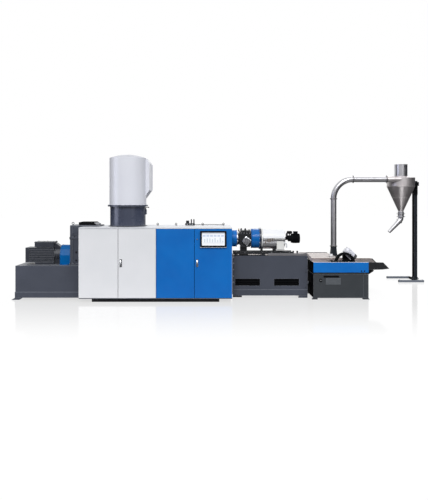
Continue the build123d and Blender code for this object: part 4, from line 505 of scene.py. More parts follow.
def even_angles(count):
    """Angles that part a full turn evenly."""
    return 2 * pi * np.arange(count) / count


def circle(radius, count):
    """Points at even angles on a circle."""
    angle = even_angles(count)
    return radius * np.stack([np.cos(angle), np.sin(angle)], -1)


def rounded(width, height, radius, steps=2):
    """Rectangle about its middle, whose corners are quarter circles."""
    angle = np.linspace(0, pi / 2, steps + 1)
    turns = np.arange(4)[:, None] * pi / 2 + angle
    across = np.array([1, -1, -1, 1])[:, None] * (width / 2 - radius)
    up = np.array([1, 1, -1, -1])[:, None] * (height / 2 - radius)
    return np.stack([across + radius * np.cos(turns), up + radius * np.sin(turns)], -1).reshape(-1, 2)


def prism(outline, foot, axis, length, bevel=0.0):
    """Outline carried straight along an axis from its foot. With a bevel, both ends draw in by it."""
    side, rise = sides_of(axis)
    outline = np.asarray(outline, float)
    reach = np.abs(outline).max()
    levels = np.array([0, bevel, length - bevel, length])
    share = 1 - np.array([bevel, 0, 0, bevel]) / reach
    if not bevel:
        levels, share = levels[1:3], share[1:3]
    flat = outline[None] * share[:, None, None]
    return skin(np.asarray(foot) + flat[..., :1] * side + flat[..., 1:] * rise + levels[:, None, None] * axis)


def block(low, high, bevel=0.003):
    """Box between two corners, with every edge broken by a bevel."""
    low, high = np.asarray(low, float), np.asarray(high, float)
    middle, size = (low + high) / 2, high - low
    outline = rounded(size[0], size[1], bevel, 1)
    return prism(outline, (middle[0], middle[1], low[2]), Z, size[2], bevel)


def turned(profile, centre, axis, count=48, loop=False):
    """Profile of (radius, distance along the axis) spun about the axis."""
    side, rise = sides_of(axis)
    radius, along = np.asarray(profile, float).T[:, :, None, None]
    angle = even_angles(count)[None, :, None]
    spoke = np.cos(angle) * side + np.sin(angle) * rise
    return skin(np.asarray(centre) + radius * spoke + along * axis, loop)


def ring(inner, outer, low, high, centre, axis, bevel=0.002, count=48):
    """Flat ring of rectangular section with broken edges."""
    profile = [(inner, low), (outer - bevel, low), (outer, low + bevel), (outer, high - bevel),
               (outer - bevel, high), (inner, high)]
    return turned(profile, centre, axis, count, loop=True)


def bead(radius, size, level, centre, axis, count=48, steps=8):
    """Weld bead or rolled edge: a small circle spun about the axis."""
    profile = circle(size, steps) + (radius, level)
    return turned(profile, centre, axis, count, loop=True)


def bent(points, radius, steps=5):
    """Route of straight runs. Each corner is a curve of second degree, (1-t)^2 a + 2t(1-t) c + t^2 b, between
    the points that lie one radius before it and after it."""
    points = [np.asarray(point, float) for point in points]
    share = np.linspace(0, 1, steps + 1)[:, None]
    route = [points[0][None]]
    for before, corner, after in zip(points, points[1:], points[2:]):
        start = corner + radius * (before - corner) / np.linalg.norm(before - corner)
        end = corner + radius * (after - corner) / np.linalg.norm(after - corner)
        route.append((1 - share) ** 2 * start + 2 * share * (1 - share) * corner + share ** 2 * end)
    return np.concatenate(route + [points[-1][None]])


def tube(route, radius, normal, sides=12):
    """Round section carried along a flat route. The section stands on the route's run, and one of its axes is
    the normal of the route's plane."""
    run = np.gradient(route, axis=0)
    run /= np.linalg.norm(run, axis=1, keepdims=True)
    side = np.cross(normal, run)
    side /= np.linalg.norm(side, axis=1, keepdims=True)
    lift = np.cross(run, side)
    angle = even_angles(sides)[None, :, None]
    return skin(route[:, None] + radius * (np.cos(angle) * side[:, None] + np.sin(angle) * lift[:, None]))


def bolts(places, axis, size):
    """Hexagon screws, a size across their flats: a round washer under a head with a broken top edge."""
    axis = np.asarray(axis, float)
    washer = prism(circle(size * 0.75, 12), (0, 0, 0), axis, size * 0.12)
    head = prism(circle(size * 0.577, 6), axis * size * 0.12, axis, size * 0.55, bevel=size * 0.07)
    return repeated(joined([washer, head]), places)


def on_circle(radius, count, centre, axis):
    """Places at even angles on a circle about an axis."""
    side, rise = sides_of(np.asarray(axis, float))
    angle = even_angles(count)[:, None]
    return np.asarray(centre) + radius * (np.cos(angle) * side + np.sin(angle) * rise)


def slats(left, right, front, levels, depth, thickness=0.004, fall=0.02):
    """Louvre blades across a slot: a thin strip that falls towards the front, repeated up the levels."""
    outline = [(0, 0), (depth, fall), (depth, fall + thickness), (0, thickness)]
    blade = prism(outline, (left, front, 0), X, right - left)
    return repeated(blade, [(0, 0, level) for level in levels])


def piece(name, forms, material, body="frame", crease=32):
    """Mesh of the given forms with one finish, smooth but where faces meet more steeply than the crease."""
    points, corners, sizes = joined(forms)
    mesh = bpy.data.meshes.new(name)
    mesh.vertices.add(len(points))
    mesh.loops.add(len(corners))
    mesh.polygons.add(len(sizes))
    mesh.vertices.foreach_set("co", points.ravel())
    mesh.loops.foreach_set("vertex_index", corners.astype(np.int32))
    mesh.polygons.foreach_set("loop_start", (np.cumsum(sizes) - sizes).astype(np.int32))
    mesh.update(calc_edges=True)
    shell = bmesh.new()
    shell.from_mesh(mesh)
    bmesh.ops.recalc_face_normals(shell, faces=shell.faces)
    shell.to_mesh(mesh)
    shell.free()
    mesh.shade_smooth()
    mesh.set_sharp_from_angle(angle=radians(crease))
    mesh.materials.append(material)
    result = bpy.data.objects.new(name, mesh)
    bpy.context.scene.collection.objects.link(result)
    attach(result, body)
    return result


def drive_details():
    """Terminal box lid, fan grille, guard lips, end shield rings, gearbox flanges with their screws, oil
    glass, plug, inspection cover and dark top cover, and a pale strip on the motor base's skirt, a painted
    highlight along its top edge."""
    lid_low, lid_high = (-3.026, -0.155, 1.34), (-2.537, 0.155, 1.358)
    lid_screws = spots((-3.0, -2.78, -2.56), (-0.137, 0.137), (lid_high[2],))
    piece("terminal_box_lid", [block(lid_low, lid_high, 0.004), bolts(lid_screws, Z, 0.014)], CHARCOAL)
    fan = np.array([MOTOR_SPAN[0], 0, MOTOR_AXIS])
    hoops = [bead(radius, 0.0035, -0.003, fan, X, 36, 6) for radius in np.linspace(0.03, 0.135, 6)]
    spoke = block(fan + (-0.008, -0.004, 0.02), fan + (0.0, 0.004, 0.14), 0.001)
    piece("motor_fan_grille", hoops + [turned_about(spoke, fan, X, even_angles(8))], BLACK)

    angle = radians(36) * np.arange(6)
    arch = GUARD_RADIUS + 0.006
    lip = [(arch * cos(a), arch * sin(a)) for a in angle] + [(-arch, BED_TOP - MOTOR_AXIS),
                                                            (arch, BED_TOP - MOTOR_AXIS)]
    lips = [prism(lip, (x, 0, MOTOR_AXIS), X, 0.014) for x in (GUARD_SPAN[0], GUARD_SPAN[1] - 0.014)]
    flange = [block((GUARD_SPAN[0], y, BED_TOP), (GUARD_SPAN[1], y + 0.045, BED_TOP + 0.008))
              for y in (-GUARD_RADIUS - 0.045, GUARD_RADIUS)]
    piece("coupling_guard_lips", lips + flange, GUARD_BLUE)
    shield_rings = [ring(0.154, 0.164, x, x + 0.014, (0, 0, MOTOR_AXIS), X)
                    for x in np.linspace(MOTOR_SPAN[1] + 0.012, SHIELD_RIGHT - 0.03, 4)]
    piece("end_shield_rings", shield_rings, CHARCOAL)
    guard_screws = spots((-2.335, -2.165), (-0.27, 0.27), (BED_TOP + 0.008,))
    piece("coupling_guard_screws", [bolts(guard_screws, Z, 0.018)], BLACK_OXIDE)

    left, half, split = GEARBOX_LEFT, GEARBOX_HALF, GEARBOX_SPLIT
    right = -CABINET_X - 0.001
    band = [block((left - 0.012, -half - 0.014, split - 0.03), (right, half + 0.014, split + 0.03), 0.004)]
    foot = [block((left - 0.014, -half - 0.03, BED_TOP), (right, half + 0.03, BED_TOP + 0.035), 0.004)]
    ribs = [block((x, y, BED_TOP + 0.03), (x + 0.018, y + 0.014, split), 0.003)
            for x in (left + 0.05, left + 0.24) for y in (-half - 0.014, half)]
    piece("gearbox_flanges", band + foot + ribs, SLATE)
    along = np.linspace(left + 0.02, right - 0.03, 4)
    screws = [bolts(spots(along, (-half - 0.004, half + 0.004), (split + 0.03,)), Z, 0.02),
              bolts(spots(along, (-half - 0.017, half + 0.017), (BED_TOP + 0.035,)), Z, 0.022),
              bolts(on_circle(0.05, 6, (left - 0.014, 0, split), -X), -X, 0.012)]
    piece("gearbox_screws", screws, BLACK_OXIDE)
    glass = np.array([left + 0.15, -half, 1.12])
    glass_profile = [(0.001, 0), (0.026, 0), (0.026, 0.012), (0.02, 0.016), (0.018, 0.01), (0.001, 0.01)]
    piece("gearbox_oil_glass", [turned(glass_profile, glass, -Y, 24)], BLACK_OXIDE)
    piece("gearbox_plug", [bolts([glass - (0, 0, 0.2)], -Y, 0.03)], BLACK_OXIDE)
    hatch_low, hatch_high = (left + 0.06, -half - 0.008, 1.54), (right - 0.03, -half, 1.73)
    piece("gearbox_inspection_cover", [block(hatch_low, hatch_high, 0.003)], SLATE)
    corners = spots((hatch_low[0] + 0.02, hatch_high[0] - 0.02), (hatch_low[1],), (1.56, 1.71))
    piece("inspection_cover_screws", [bolts(corners, -Y, 0.014)], BLACK_OXIDE)
    left, right = TOP_COVER_SPAN
    outline = [(left, GEARBOX_TOP), (right, GEARBOX_TOP), (right - 0.086, TOP_COVER_TOP),
               (left, TOP_COVER_TOP)]
    piece("gearbox_top_shell", [prism(outline, (0, TOP_COVER_HALF, 0), -Y, 2 * TOP_COVER_HALF)], MATT_BLACK)
    left, right = MOTOR_BASE_SPAN
    # Painted highlight: a pale strip along the top edge of the skirt
    edge = block((left, SKIRT_FRONT, SKIRT_TOP - 0.009), (right, SKIRT_FRONT + 0.003, SKIRT_TOP), 0.001)
    piece("motor_base_skirt_highlight", [edge], FOOT_SLATE)


def door_details(door, left, right):
    """Rubber seal and three stiffening ribs on a door's inner side, within the gap behind the door."""
    low, high = DOOR_LEVELS
    near, far = DOOR_BACK, DOOR_BACK + 0.011
    inset, width = 0.045, 0.014
    x0, x1, z0, z1 = left + inset, right - inset, low + inset, high - inset
    seal = [block((x0, near, z0), (x1, far, z0 + width)), block((x0, near, z1 - width), (x1, far, z1)),
            block((x0, near, z0), (x0 + width, far, z1)), block((x1 - width, near, z0), (x1, far, z1))]
    piece(door + "_seal", seal, RUBBER, door)
    ribs = [block((x0 + 0.03, near, z - 0.03), (x1 - 0.03, near + 0.01, z + 0.03), 0.005)
            for z in np.linspace(z0 + 0.25, z1 - 0.25, 3)]
    piece(door + "_ribs", ribs, WHITE if "white" in door else BLUE, door)


def swing_handle(name, x, door, material):
    """Swing handle: a lever in a dished plate, thicker to its free end, with a lock cylinder above."""
    low, high = HANDLE_LEVELS
    plate = HANDLE_FRONT
    outline = [(plate, low), (plate - 0.02, low + 0.006), (plate - 0.024, low + 0.03),
               (plate - 0.012, high - 0.02), (plate, high)]
    lever = prism(outline, (x - 0.013, 0, 0), X, 0.026)
    cylinder = turned([(0.001, 0), (0.011, 0), (0.011, 0.006), (0.009, 0.009), (0.001, 0.009)],
                      (x, plate, high + 0.001), -Y, 20)
    piece(name, [lever, cylinder], material, door)


def screen_marks(body):
    """Faint marks on the touch screen's page: a title bar, six tiles, eight bars whose heights follow a sine,
    and a line under them. Each is a thin block (left, right, low, high) that just stands out of the glass."""
    left, right = SCREEN_SPAN
    tiles = left + 0.02 + 0.085 * np.arange(6)
    bars = left + 0.05 + 0.06 * np.arange(8)
    marks = {"screen_title_bar": (SCREEN_SLATE, [(left, right, SCREEN_TOP - 0.03, SCREEN_TOP)]),
             "screen_tiles": (SCREEN_BLUE, [(x, x + 0.065, 1.53, 1.57) for x in tiles]),
             "screen_bars": (SCREEN_PALE, [(x, x + 0.03, 1.4, 1.43 + 0.08 * abs(sin(1.7 * i + 0.6)))
                                           for i, x in enumerate(bars)]),
             "screen_base_line": (SCREEN_SLATE, [(left + 0.03, right - 0.03, 1.385, 1.391)])}
    for name, (material, areas) in marks.items():
        piece(name, [block((x0, SCREEN_FRONT - 0.001, z0), (x1, SCREEN_FRONT + 0.001, z1), 0.0004)
                     for x0, x1, z0, z1 in areas], material, body)


def cabinet_details():
    """Door seals and ribs, handles, touch panel trim and marks, air line with clips and valve fittings on the
    roof, seams, screws and vents at the back, and clamps round the barrel's heaters."""
    for door, left, right in zip(DOORS, DOOR_SEAMS, DOOR_SEAMS[1:]):
        door_details(door, left, right)
    swing_handle("white_handle_lever", -0.803, "white_door_left", ZINC)
    swing_handle("blue_handle_lever", 0.974, "blue_door_right", MACHINED)
    left, right = PANEL_SPAN
    trim = block((left, PANEL_FRONT, PANEL_FOOT - 0.006), (right, -0.82, PANEL_FOOT + 0.005), 0.001)
    piece("touch_panel_trim", [trim], TRIM, "blue_door_right")
    screen_marks("blue_door_right")

    back, level = AIR_LINE_BACK, AIR_LINE_LEVEL
    route = bent([(0.875, back, level), (1.62, back, level), (1.62, back, ROOF_TOP)], 0.03)
    piece("roof_air_line", [tube(route, 0.006, Y)], PLASTIC)
    clips = [block((x - 0.01, back - 0.01, ROOF_TOP), (x + 0.01, back + 0.01, level + 0.008), 0.002)
             for x in (1.2, 1.45)]
    piece("roof_air_line_clips", clips, ZINC)
    cap = [(0.001, 0), (0.013, 0), (0.013, 0.012), (0.008, 0.018), (0.001, 0.018)]
    piece("valve_caps", [turned(cap, (x, back, 1.878), Z, 20) for x in (0.79, 0.855)], BLACK_OXIDE)
    nuts = [bolts([(x, 0.36, 1.764)], -Y, 0.022) for x in (0.69, 0.755, 0.82)]
    piece("valve_fittings", nuts, ZINC)

    back = CABINET_BACK
    seams = [block((x - 0.003, back, 0.1), (x + 0.003, back + 0.002, 1.7), 0.0008) for x in DOOR_SEAMS[1:4]]
    piece("back_panel_seams", seams, BLACK)
    beside = np.concatenate([np.array(DOOR_SEAMS[1:4]) - 0.03, np.array(DOOR_SEAMS[1:4]) + 0.03])
    piece("back_panel_screws", [bolts(spots(beside, (back,), np.linspace(0.16, 1.64, 6)), Y, 0.012)], ZINC)
    for i, middle in enumerate(VENT_MIDDLES):
        frame_bars = [block((middle - 0.25, back, z), (middle + 0.25, back + 0.012, z + 0.012))
                      for z in VENT_LEVELS]
        blades = slats(middle - 0.24, middle + 0.24, back + 0.012, np.linspace(1.22, 1.485, 9), -0.012,
                       thickness=0.003, fall=0.016)
        piece(f"back_vent_{i + 1}", frame_bars + [blades], SLATE)
    heaters = np.linspace(0.15, 1.6, 9)
    clamps = [ring(0.137, 0.142, x - 0.012, x + 0.012, (0, 0, AXIS), X, count=32) for x in heaters]
    lugs = [block((x - 0.01, -0.165, AXIS - 0.015), (x + 0.01, -0.138, AXIS + 0.015)) for x in heaters]
    piece("barrel_heater_clamps", clamps + lugs, ZINC)


def compactor_details():
    """Flange screws, roof collar, drum bands, the hood's rolled edge and two riveted seams, the chute's rear
    flange with its screws, and the latch lever with its knob."""
    foot = np.array([*DRUM, 0.0])
    low, high = HOOD_LEVELS
    piece("drum_flange_screws", [bolts(on_circle(0.472, 24, foot + (0, 0, low), Z), Z, 0.016)], ZINC)
    piece("drum_roof_collar", [ring(0.433, 0.475, ROOF_TOP, ROOF_TOP + 0.012, foot, Z, count=72)], BLACK)
    bands = [ring(0.431, 0.437, z, z + 0.022, foot, Z, count=72) for z in (1.752, 2.196)]
    piece("drum_bands", bands, DRUM_SLATE)
    piece("hood_rolled_edge", [bead(HOOD_RADIUS + 0.001, 0.006, low + 0.006, foot, Z, 72)], HOOD_WHITE)
    side = -HOOD_RADIUS
    seam = block((side - 0.0025, -0.014, low + 0.012), (side + 0.004, 0.014, high - 0.008), 0.001)
    rivet = turned([(0.001, 0), (0.005, 0), (0.0035, 0.0025), (0.001, 0.003)], (side - 0.002, 0, 0), -X, 10)
    rivets = repeated(rivet, spots((0,), (0,), np.linspace(low + 0.06, high - 0.06, 16)))
    seam_turns = np.radians([-35, 55])
    strips = [turned_about(form, np.zeros(3), Z, seam_turns) for form in (seam, rivets)]
    piece("hood_seams", [repeated(form, [foot]) for form in strips], HOOD_WHITE)

    right, rear = CHUTE_RIGHT, CHUTE_REAR
    low, high = CHUTE_LEVELS
    flange = block((right - 0.02, rear - 0.003, low), (right + 0.012, rear, high), 0.001)
    piece("chute_rear_flange", [flange], HOOD_WHITE)
    screws = spots((right - 0.004,), (rear,), np.linspace(low + 0.06, high - 0.045, 7))
    piece("chute_flange_screws", [bolts(screws, Y, 0.011)], ZINC)
    lever = bent([(-0.31, -0.05, 2.16), (-0.31, -0.05, 2.2), (-0.25, -0.05, 2.2)], 0.02)
    knob = turned([(0.001, 0), (0.014, 0.004), (0.016, 0.014), (0.012, 0.024), (0.001, 0.027)],
                  (-0.255, -0.05, 2.2), X, 20)
    piece("drum_latch_lever", [tube(lever, 0.008, Y), knob], PLASTIC)


def foil_wrap():
    """Silver foil round a block heater: a box |x|^n + |y|^n + |z|^n = 1 on a grid of two angles, brought to
    the heater's half sizes. Its dents are a sum of sine waves along each point's direction, and it is tilted
    about Y."""
    across, up = 64, 40
    power, dent = 9, 0.0022
    # Turns of each wave along X, Y and Z: from broad dents to narrow creases
    waves = np.array([[9, 4, 11], [17, 13, 5], [6, 21, 16], [29, 8, 23]])
    a = even_angles(across)[None, :]
    b = np.linspace(-pi / 2 + 0.02, pi / 2 - 0.02, up)[:, None]
    unit = np.stack([np.cos(b) * np.cos(a), np.cos(b) * np.sin(a), np.sin(b) * np.ones_like(a)], -1)
    reach = (np.abs(unit) ** power).sum(-1, keepdims=True) ** (-1 / power)
    dents = sum(np.sin(unit @ wave + 1.3 * k) / (k + 1.5) for k, wave in enumerate(waves))[..., None]
    shape = unit * reach * (np.array(HEATER_HALF) + dent * dents)
    tilt = radians(HEATER_TILT)
    turn = np.array([[cos(tilt), 0, sin(tilt)], [0, 1, 0], [-sin(tilt), 0, cos(tilt)]])
    return skin(shape @ turn.T + HEATER_CENTRE)


def outlet_details():
    """Guard bands with rivets, collar screws, brass probe fitting, plates and screws of the screen changer,
    foil wrapped heater with its terminals, bell rings, die flange screws and pedestal nuts."""
    axis_at = np.array([0, 0, AXIS])
    left, right = BARREL_GUARD_SPAN
    bands = [ring(0.2, 0.206, x, x + 0.014, axis_at, X) for x in (left, right - 0.014)]
    piece("barrel_guard_bands", bands, BLUE)
    piece("barrel_guard_rivets", [bolts(on_circle(0.206, 8, (left + 0.007, 0, AXIS), X), -Y, 0.008)], ZINC)
    left, right = COLLAR_SPAN
    screws = [bolts(on_circle(0.145, 12, (right, 0, AXIS), X), X, 0.018),
              bolts(on_circle(0.15, 12, (left, 0, AXIS), -X), -X, 0.014)]
    piece("collar_screws", screws, MACHINED)
    fitting = turned([(0.012, 0), (0.012, 0.02), (0.019, 0.02), (0.019, 0.042), (0.01, 0.046), (0.01, 0.07),
                      (0.006, 0.08)], (1.975, -0.02, 1.598), Z, 6)
    piece("pressure_probe_fitting", [fitting], BRASS)
    left, right, front, low, high = *CHANGER_SPAN, CHANGER_FRONT, *CHANGER_LEVELS
    plates = [block((left + 0.02, front - 0.008, low + 0.03), (right - 0.02, front, low + 0.07)),
              block((left + 0.02, front - 0.01, high - 0.09), (right - 0.02, front, high - 0.03))]
    piece("screen_changer_plates", plates, BLACK)
    rows = spots(np.linspace(left + 0.04, right - 0.04, 4), (front - 0.01,), (high - 0.075, high - 0.045))
    top = spots((left + 0.04, right - 0.04), (-0.14, 0.14), (high,))
    piece("screen_changer_screws", [bolts(rows, -Y, 0.015), bolts(top, Z, 0.024)], MACHINED)
    wrap = piece("foil_wrapped_heater", [foil_wrap()], FOIL, crease=60)
    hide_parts("screen_changer_block")
    terminal = [(0.022, 0), (0.022, 0.03), (0.016, 0.04), (0.016, 0.055)]
    piece("heater_terminals", [turned(terminal, (x, -0.12, high), Z, 6) for x in (2.03, 2.13)], BLACK_OXIDE)
    piece("bell_rings", [ring(BELL_RADIUS - 0.002, BELL_RADIUS + 0.004, x, x + 0.016, axis_at, X, count=64)
                         for x in (BELL_SPAN[0], 2.37)], BELL_BLUE)
    flange = on_circle(0.254, 16, (BELL_SPAN[1], 0, AXIS), -X)
    piece("die_flange_screws", [bolts(flange, -X, 0.014)], MACHINED)
    piece("pedestal_nuts", [bolts(spots((2.0, 2.18), (-0.115, 0.115), (1.06,)), Z, 0.016)], ZINC)


def half_shell(inner, outer, left, right, start, sweep, count=40):
    """Part of a tube's wall round the extruder's axis, from a start angle over a sweep in degrees: an outline
    of two arcs and the lines between their ends, carried along X."""
    angle = radians(start) + radians(sweep) * np.linspace(0, 1, count)
    out = outer * np.stack([np.cos(angle), np.sin(angle)], -1)
    back = inner * np.stack([np.cos(angle[::-1]), np.sin(angle[::-1])], -1)
    return prism(np.concatenate([out, back]), (left, 0, AXIS), X, right - left)


def chamber_details():
    """White upper guard with hinge blocks and latches, steel lower shell with its bands, rim, end cover with
    screws, lips round the discharge box and the spray water pipe."""
    body = "cutter_carriage"
    axis_at = np.array([0, 0, AXIS])
    left, right = CHAMBER_SPAN[0] + 0.03, CHAMBER_SPAN[1] - 0.006
    wall = CHAMBER_RADIUS + 0.0005
    guard = half_shell(wall, 0.262, left, right, 4, 172)
    flanges = [block((left, y, AXIS + low), (right, y + 0.02, AXIS + 0.022))
               for y, low in ((-0.272, 0.016), (0.252, 0.014))]
    piece("cutter_upper_guard", [guard, *flanges], GUARD_WHITE, body)
    lower = [half_shell(wall, 0.256, left, right, -178, 176)]
    lower += [half_shell(0.255, 0.261, x, x + 0.014, -178, 176) for x in (2.62, 2.82, 3.05)]
    piece("cutter_lower_shell", lower, STEEL_LEVEL, body)
    hinges = [block((2.66, -0.285, AXIS - 0.075), (2.74, -0.258, AXIS + 0.01), 0.004),
              block((2.77, -0.283, AXIS - 0.05), (2.8, -0.258, AXIS + 0.02), 0.004),
              block((2.6, -0.262, AXIS - 0.12), (2.63, -0.235, AXIS - 0.04), 0.004)]
    piece("cutter_hinge_blocks", hinges, HINGE_GREY, body)
    latches = [block((x, -0.279, AXIS - 0.02), (x + 0.018, -0.256, AXIS + 0.03), 0.004) for x in (2.84, 3.02)]
    piece("cutter_guard_latches", latches, PALE_GREY, body)
    rim = ring(0.253, 0.262, left - 0.002, left + 0.012, axis_at, X, count=64)
    piece("cutter_left_rim", [rim], MACHINED, body)
    face = CHAMBER_SPAN[1]
    cover = ring(0.06, 0.2, face, face + 0.012, axis_at, X, count=64)
    piece("cutter_end_cover", [cover], STEEL_UPRIGHT, body)
    screws = on_circle(0.18, 12, (face + 0.012, 0, AXIS), X)
    piece("cutter_end_screws", [bolts(screws, X, 0.016)], ZINC, body)
    x0, x1 = OUTLET_BOX_SPAN
    lips = [block((x0 - 0.01, y, 1.168), (x1 + 0.01, y + 0.012, 1.182)) for y in (-0.256, 0.244)]
    piece("discharge_lips", lips, STEEL_LEVEL, body)
    route = bent([(3.06, -0.235, 1.335), (3.125, -0.235, 1.335), (3.125, -0.235, 1.22)], 0.035)
    piece("spray_water_pipe", [tube(route, 0.017, Y, 16)], TRIM, body)


def cutter_motor_details():
    """Fins, cowl, grille and terminal box of the cutter's motor, the lobed knob and the handwheel's rim."""
    body = "cutter_carriage"
    left, right = CUTTER_MOTOR_SPAN
    end = (right, 0, AXIS)
    fin = block((left + 0.035, -0.002, AXIS + 0.106), (right - 0.06, 0.002, AXIS + 0.119), 0.0006)
    fins = turned_about(fin, np.array([0, 0, AXIS]), X, even_angles(36))
    cowl = turned([(0.106, -0.058), (0.117, -0.052), (0.117, -0.01), (0.108, 0.0)], end, X, 40)
    piece("cutter_motor_fins", [fins, cowl], MATT_BLACK, body)
    grille = [bead(radius, 0.0025, 0.001, end, X, 32, 6) for radius in (0.03, 0.05, 0.07, 0.09)]
    piece("cutter_motor_grille", grille, BLACK, body)
    box = [block((left + 0.06, -0.055, AXIS + 0.1), (right - 0.05, 0.055, AXIS + 0.165), 0.006),
           block((left + 0.056, -0.059, AXIS + 0.16), (right - 0.046, 0.059, AXIS + 0.172), 0.003)]
    piece("cutter_terminal_box", box, MATT_BLACK, body)
    lobe = turned([(0.001, 0), (0.016, 0.003), (0.018, 0.03), (0.014, 0.052), (0.001, 0.055)],
                  KNOB + (0.05, 0, -0.028), Z, 16)
    piece("cutter_knob_lobes", [turned_about(lobe, KNOB, Z, even_angles(6))], PLASTIC, body)
    piece("cutter_handwheel_rim", [bead(0.052, 0.007, 0.0, (3.1635, 0, 1.517), X, 32)], MACHINED, body)


def pelletizer_details():
    """Louvre blades and backs of the two slots, both matt black as painted shade in the recesses, pale splash
    strip and dark edge of the tray, a pale strip on the skirt as a painted highlight, stop caps, rail and
    panel screws, and hose nipples."""
    left, right = BASE_SPAN
    low, high = SLOT_LEVELS
    levels = np.linspace(low + 0.01, high - 0.04, 4)
    # Painted shade: blades and backs in matt black, as dark as the shade in the slots
    blades = [slats(x, x + SLOT_LENGTH, BASE_FRONT + 0.002, levels, 0.03) for x in SLOT_STARTS]
    piece("pelletizer_louvres", blades, MATT_BLACK)
    backs = [block((x + 0.002, BASE_FRONT + 0.056, low + 0.002),
                   (x + SLOT_LENGTH - 0.002, BASE_FRONT + 0.059, high - 0.002), 0.001) for x in SLOT_STARTS]
    piece("pelletizer_slot_shade_backs", backs, MATT_BLACK)
    strip = block((SPLASH_LEFT, BASE_FRONT, 1.034), (right - 0.012, BASE_FRONT + 0.01, 1.086), 0.002)
    end = block((right - 0.022, BASE_FRONT, 1.034), (right - 0.012, 0.05, 1.086), 0.002)
    piece("tray_splash_strip", [strip, end], STEEL_LEVEL)
    edge = block((left, BASE_FRONT - 0.0015, 1.026), (SPLASH_LEFT, BASE_FRONT, 1.0435), 0.0006)
    piece("tray_dark_edge", [edge], MATT_BLACK)
    # Painted highlight: a pale strip along the skirt's lit top edge
    skirt = block((left + 0.01, BASE_FRONT - 0.012, 0.196), (right - 0.01, BASE_FRONT - 0.009, 0.204), 0.001)
    piece("pelletizer_skirt_highlight", [skirt], FOOT_SLATE)
    cap = [(0.0185, -0.03), (0.022, -0.028), (0.022, 0.004), (0.018, 0.009), (0.001, 0.01)]
    piece("rail_stop_caps", [turned(cap, (x, 0, STOP_TOP), Z, 24) for x in STOP_PLACES], RUBBER)
    rail_screws = [bolts(spots(np.linspace(1.9, 3.2, 7), (side[1] * RAIL_SCREW_SIDE,), (RAIL_SCREW_LEVEL,)),
                         side, 0.01) for side in (-Y, Y)]
    piece("rail_screws", rail_screws, ZINC)
    panel_screws = spots((right - 0.04,), (BASE_FRONT,), (0.25, 0.62, 0.98))
    piece("pelletizer_panel_screws", [bolts(panel_screws, -Y, 0.014)], BLACK_OXIDE)
    nipples = spots((left + 0.009,), (BASE_FRONT,), (0.38, 0.53, 0.69, 0.84, 0.98))
    piece("pelletizer_hose_nipples", [bolts(nipples, -Y, 0.022)], ZINC)


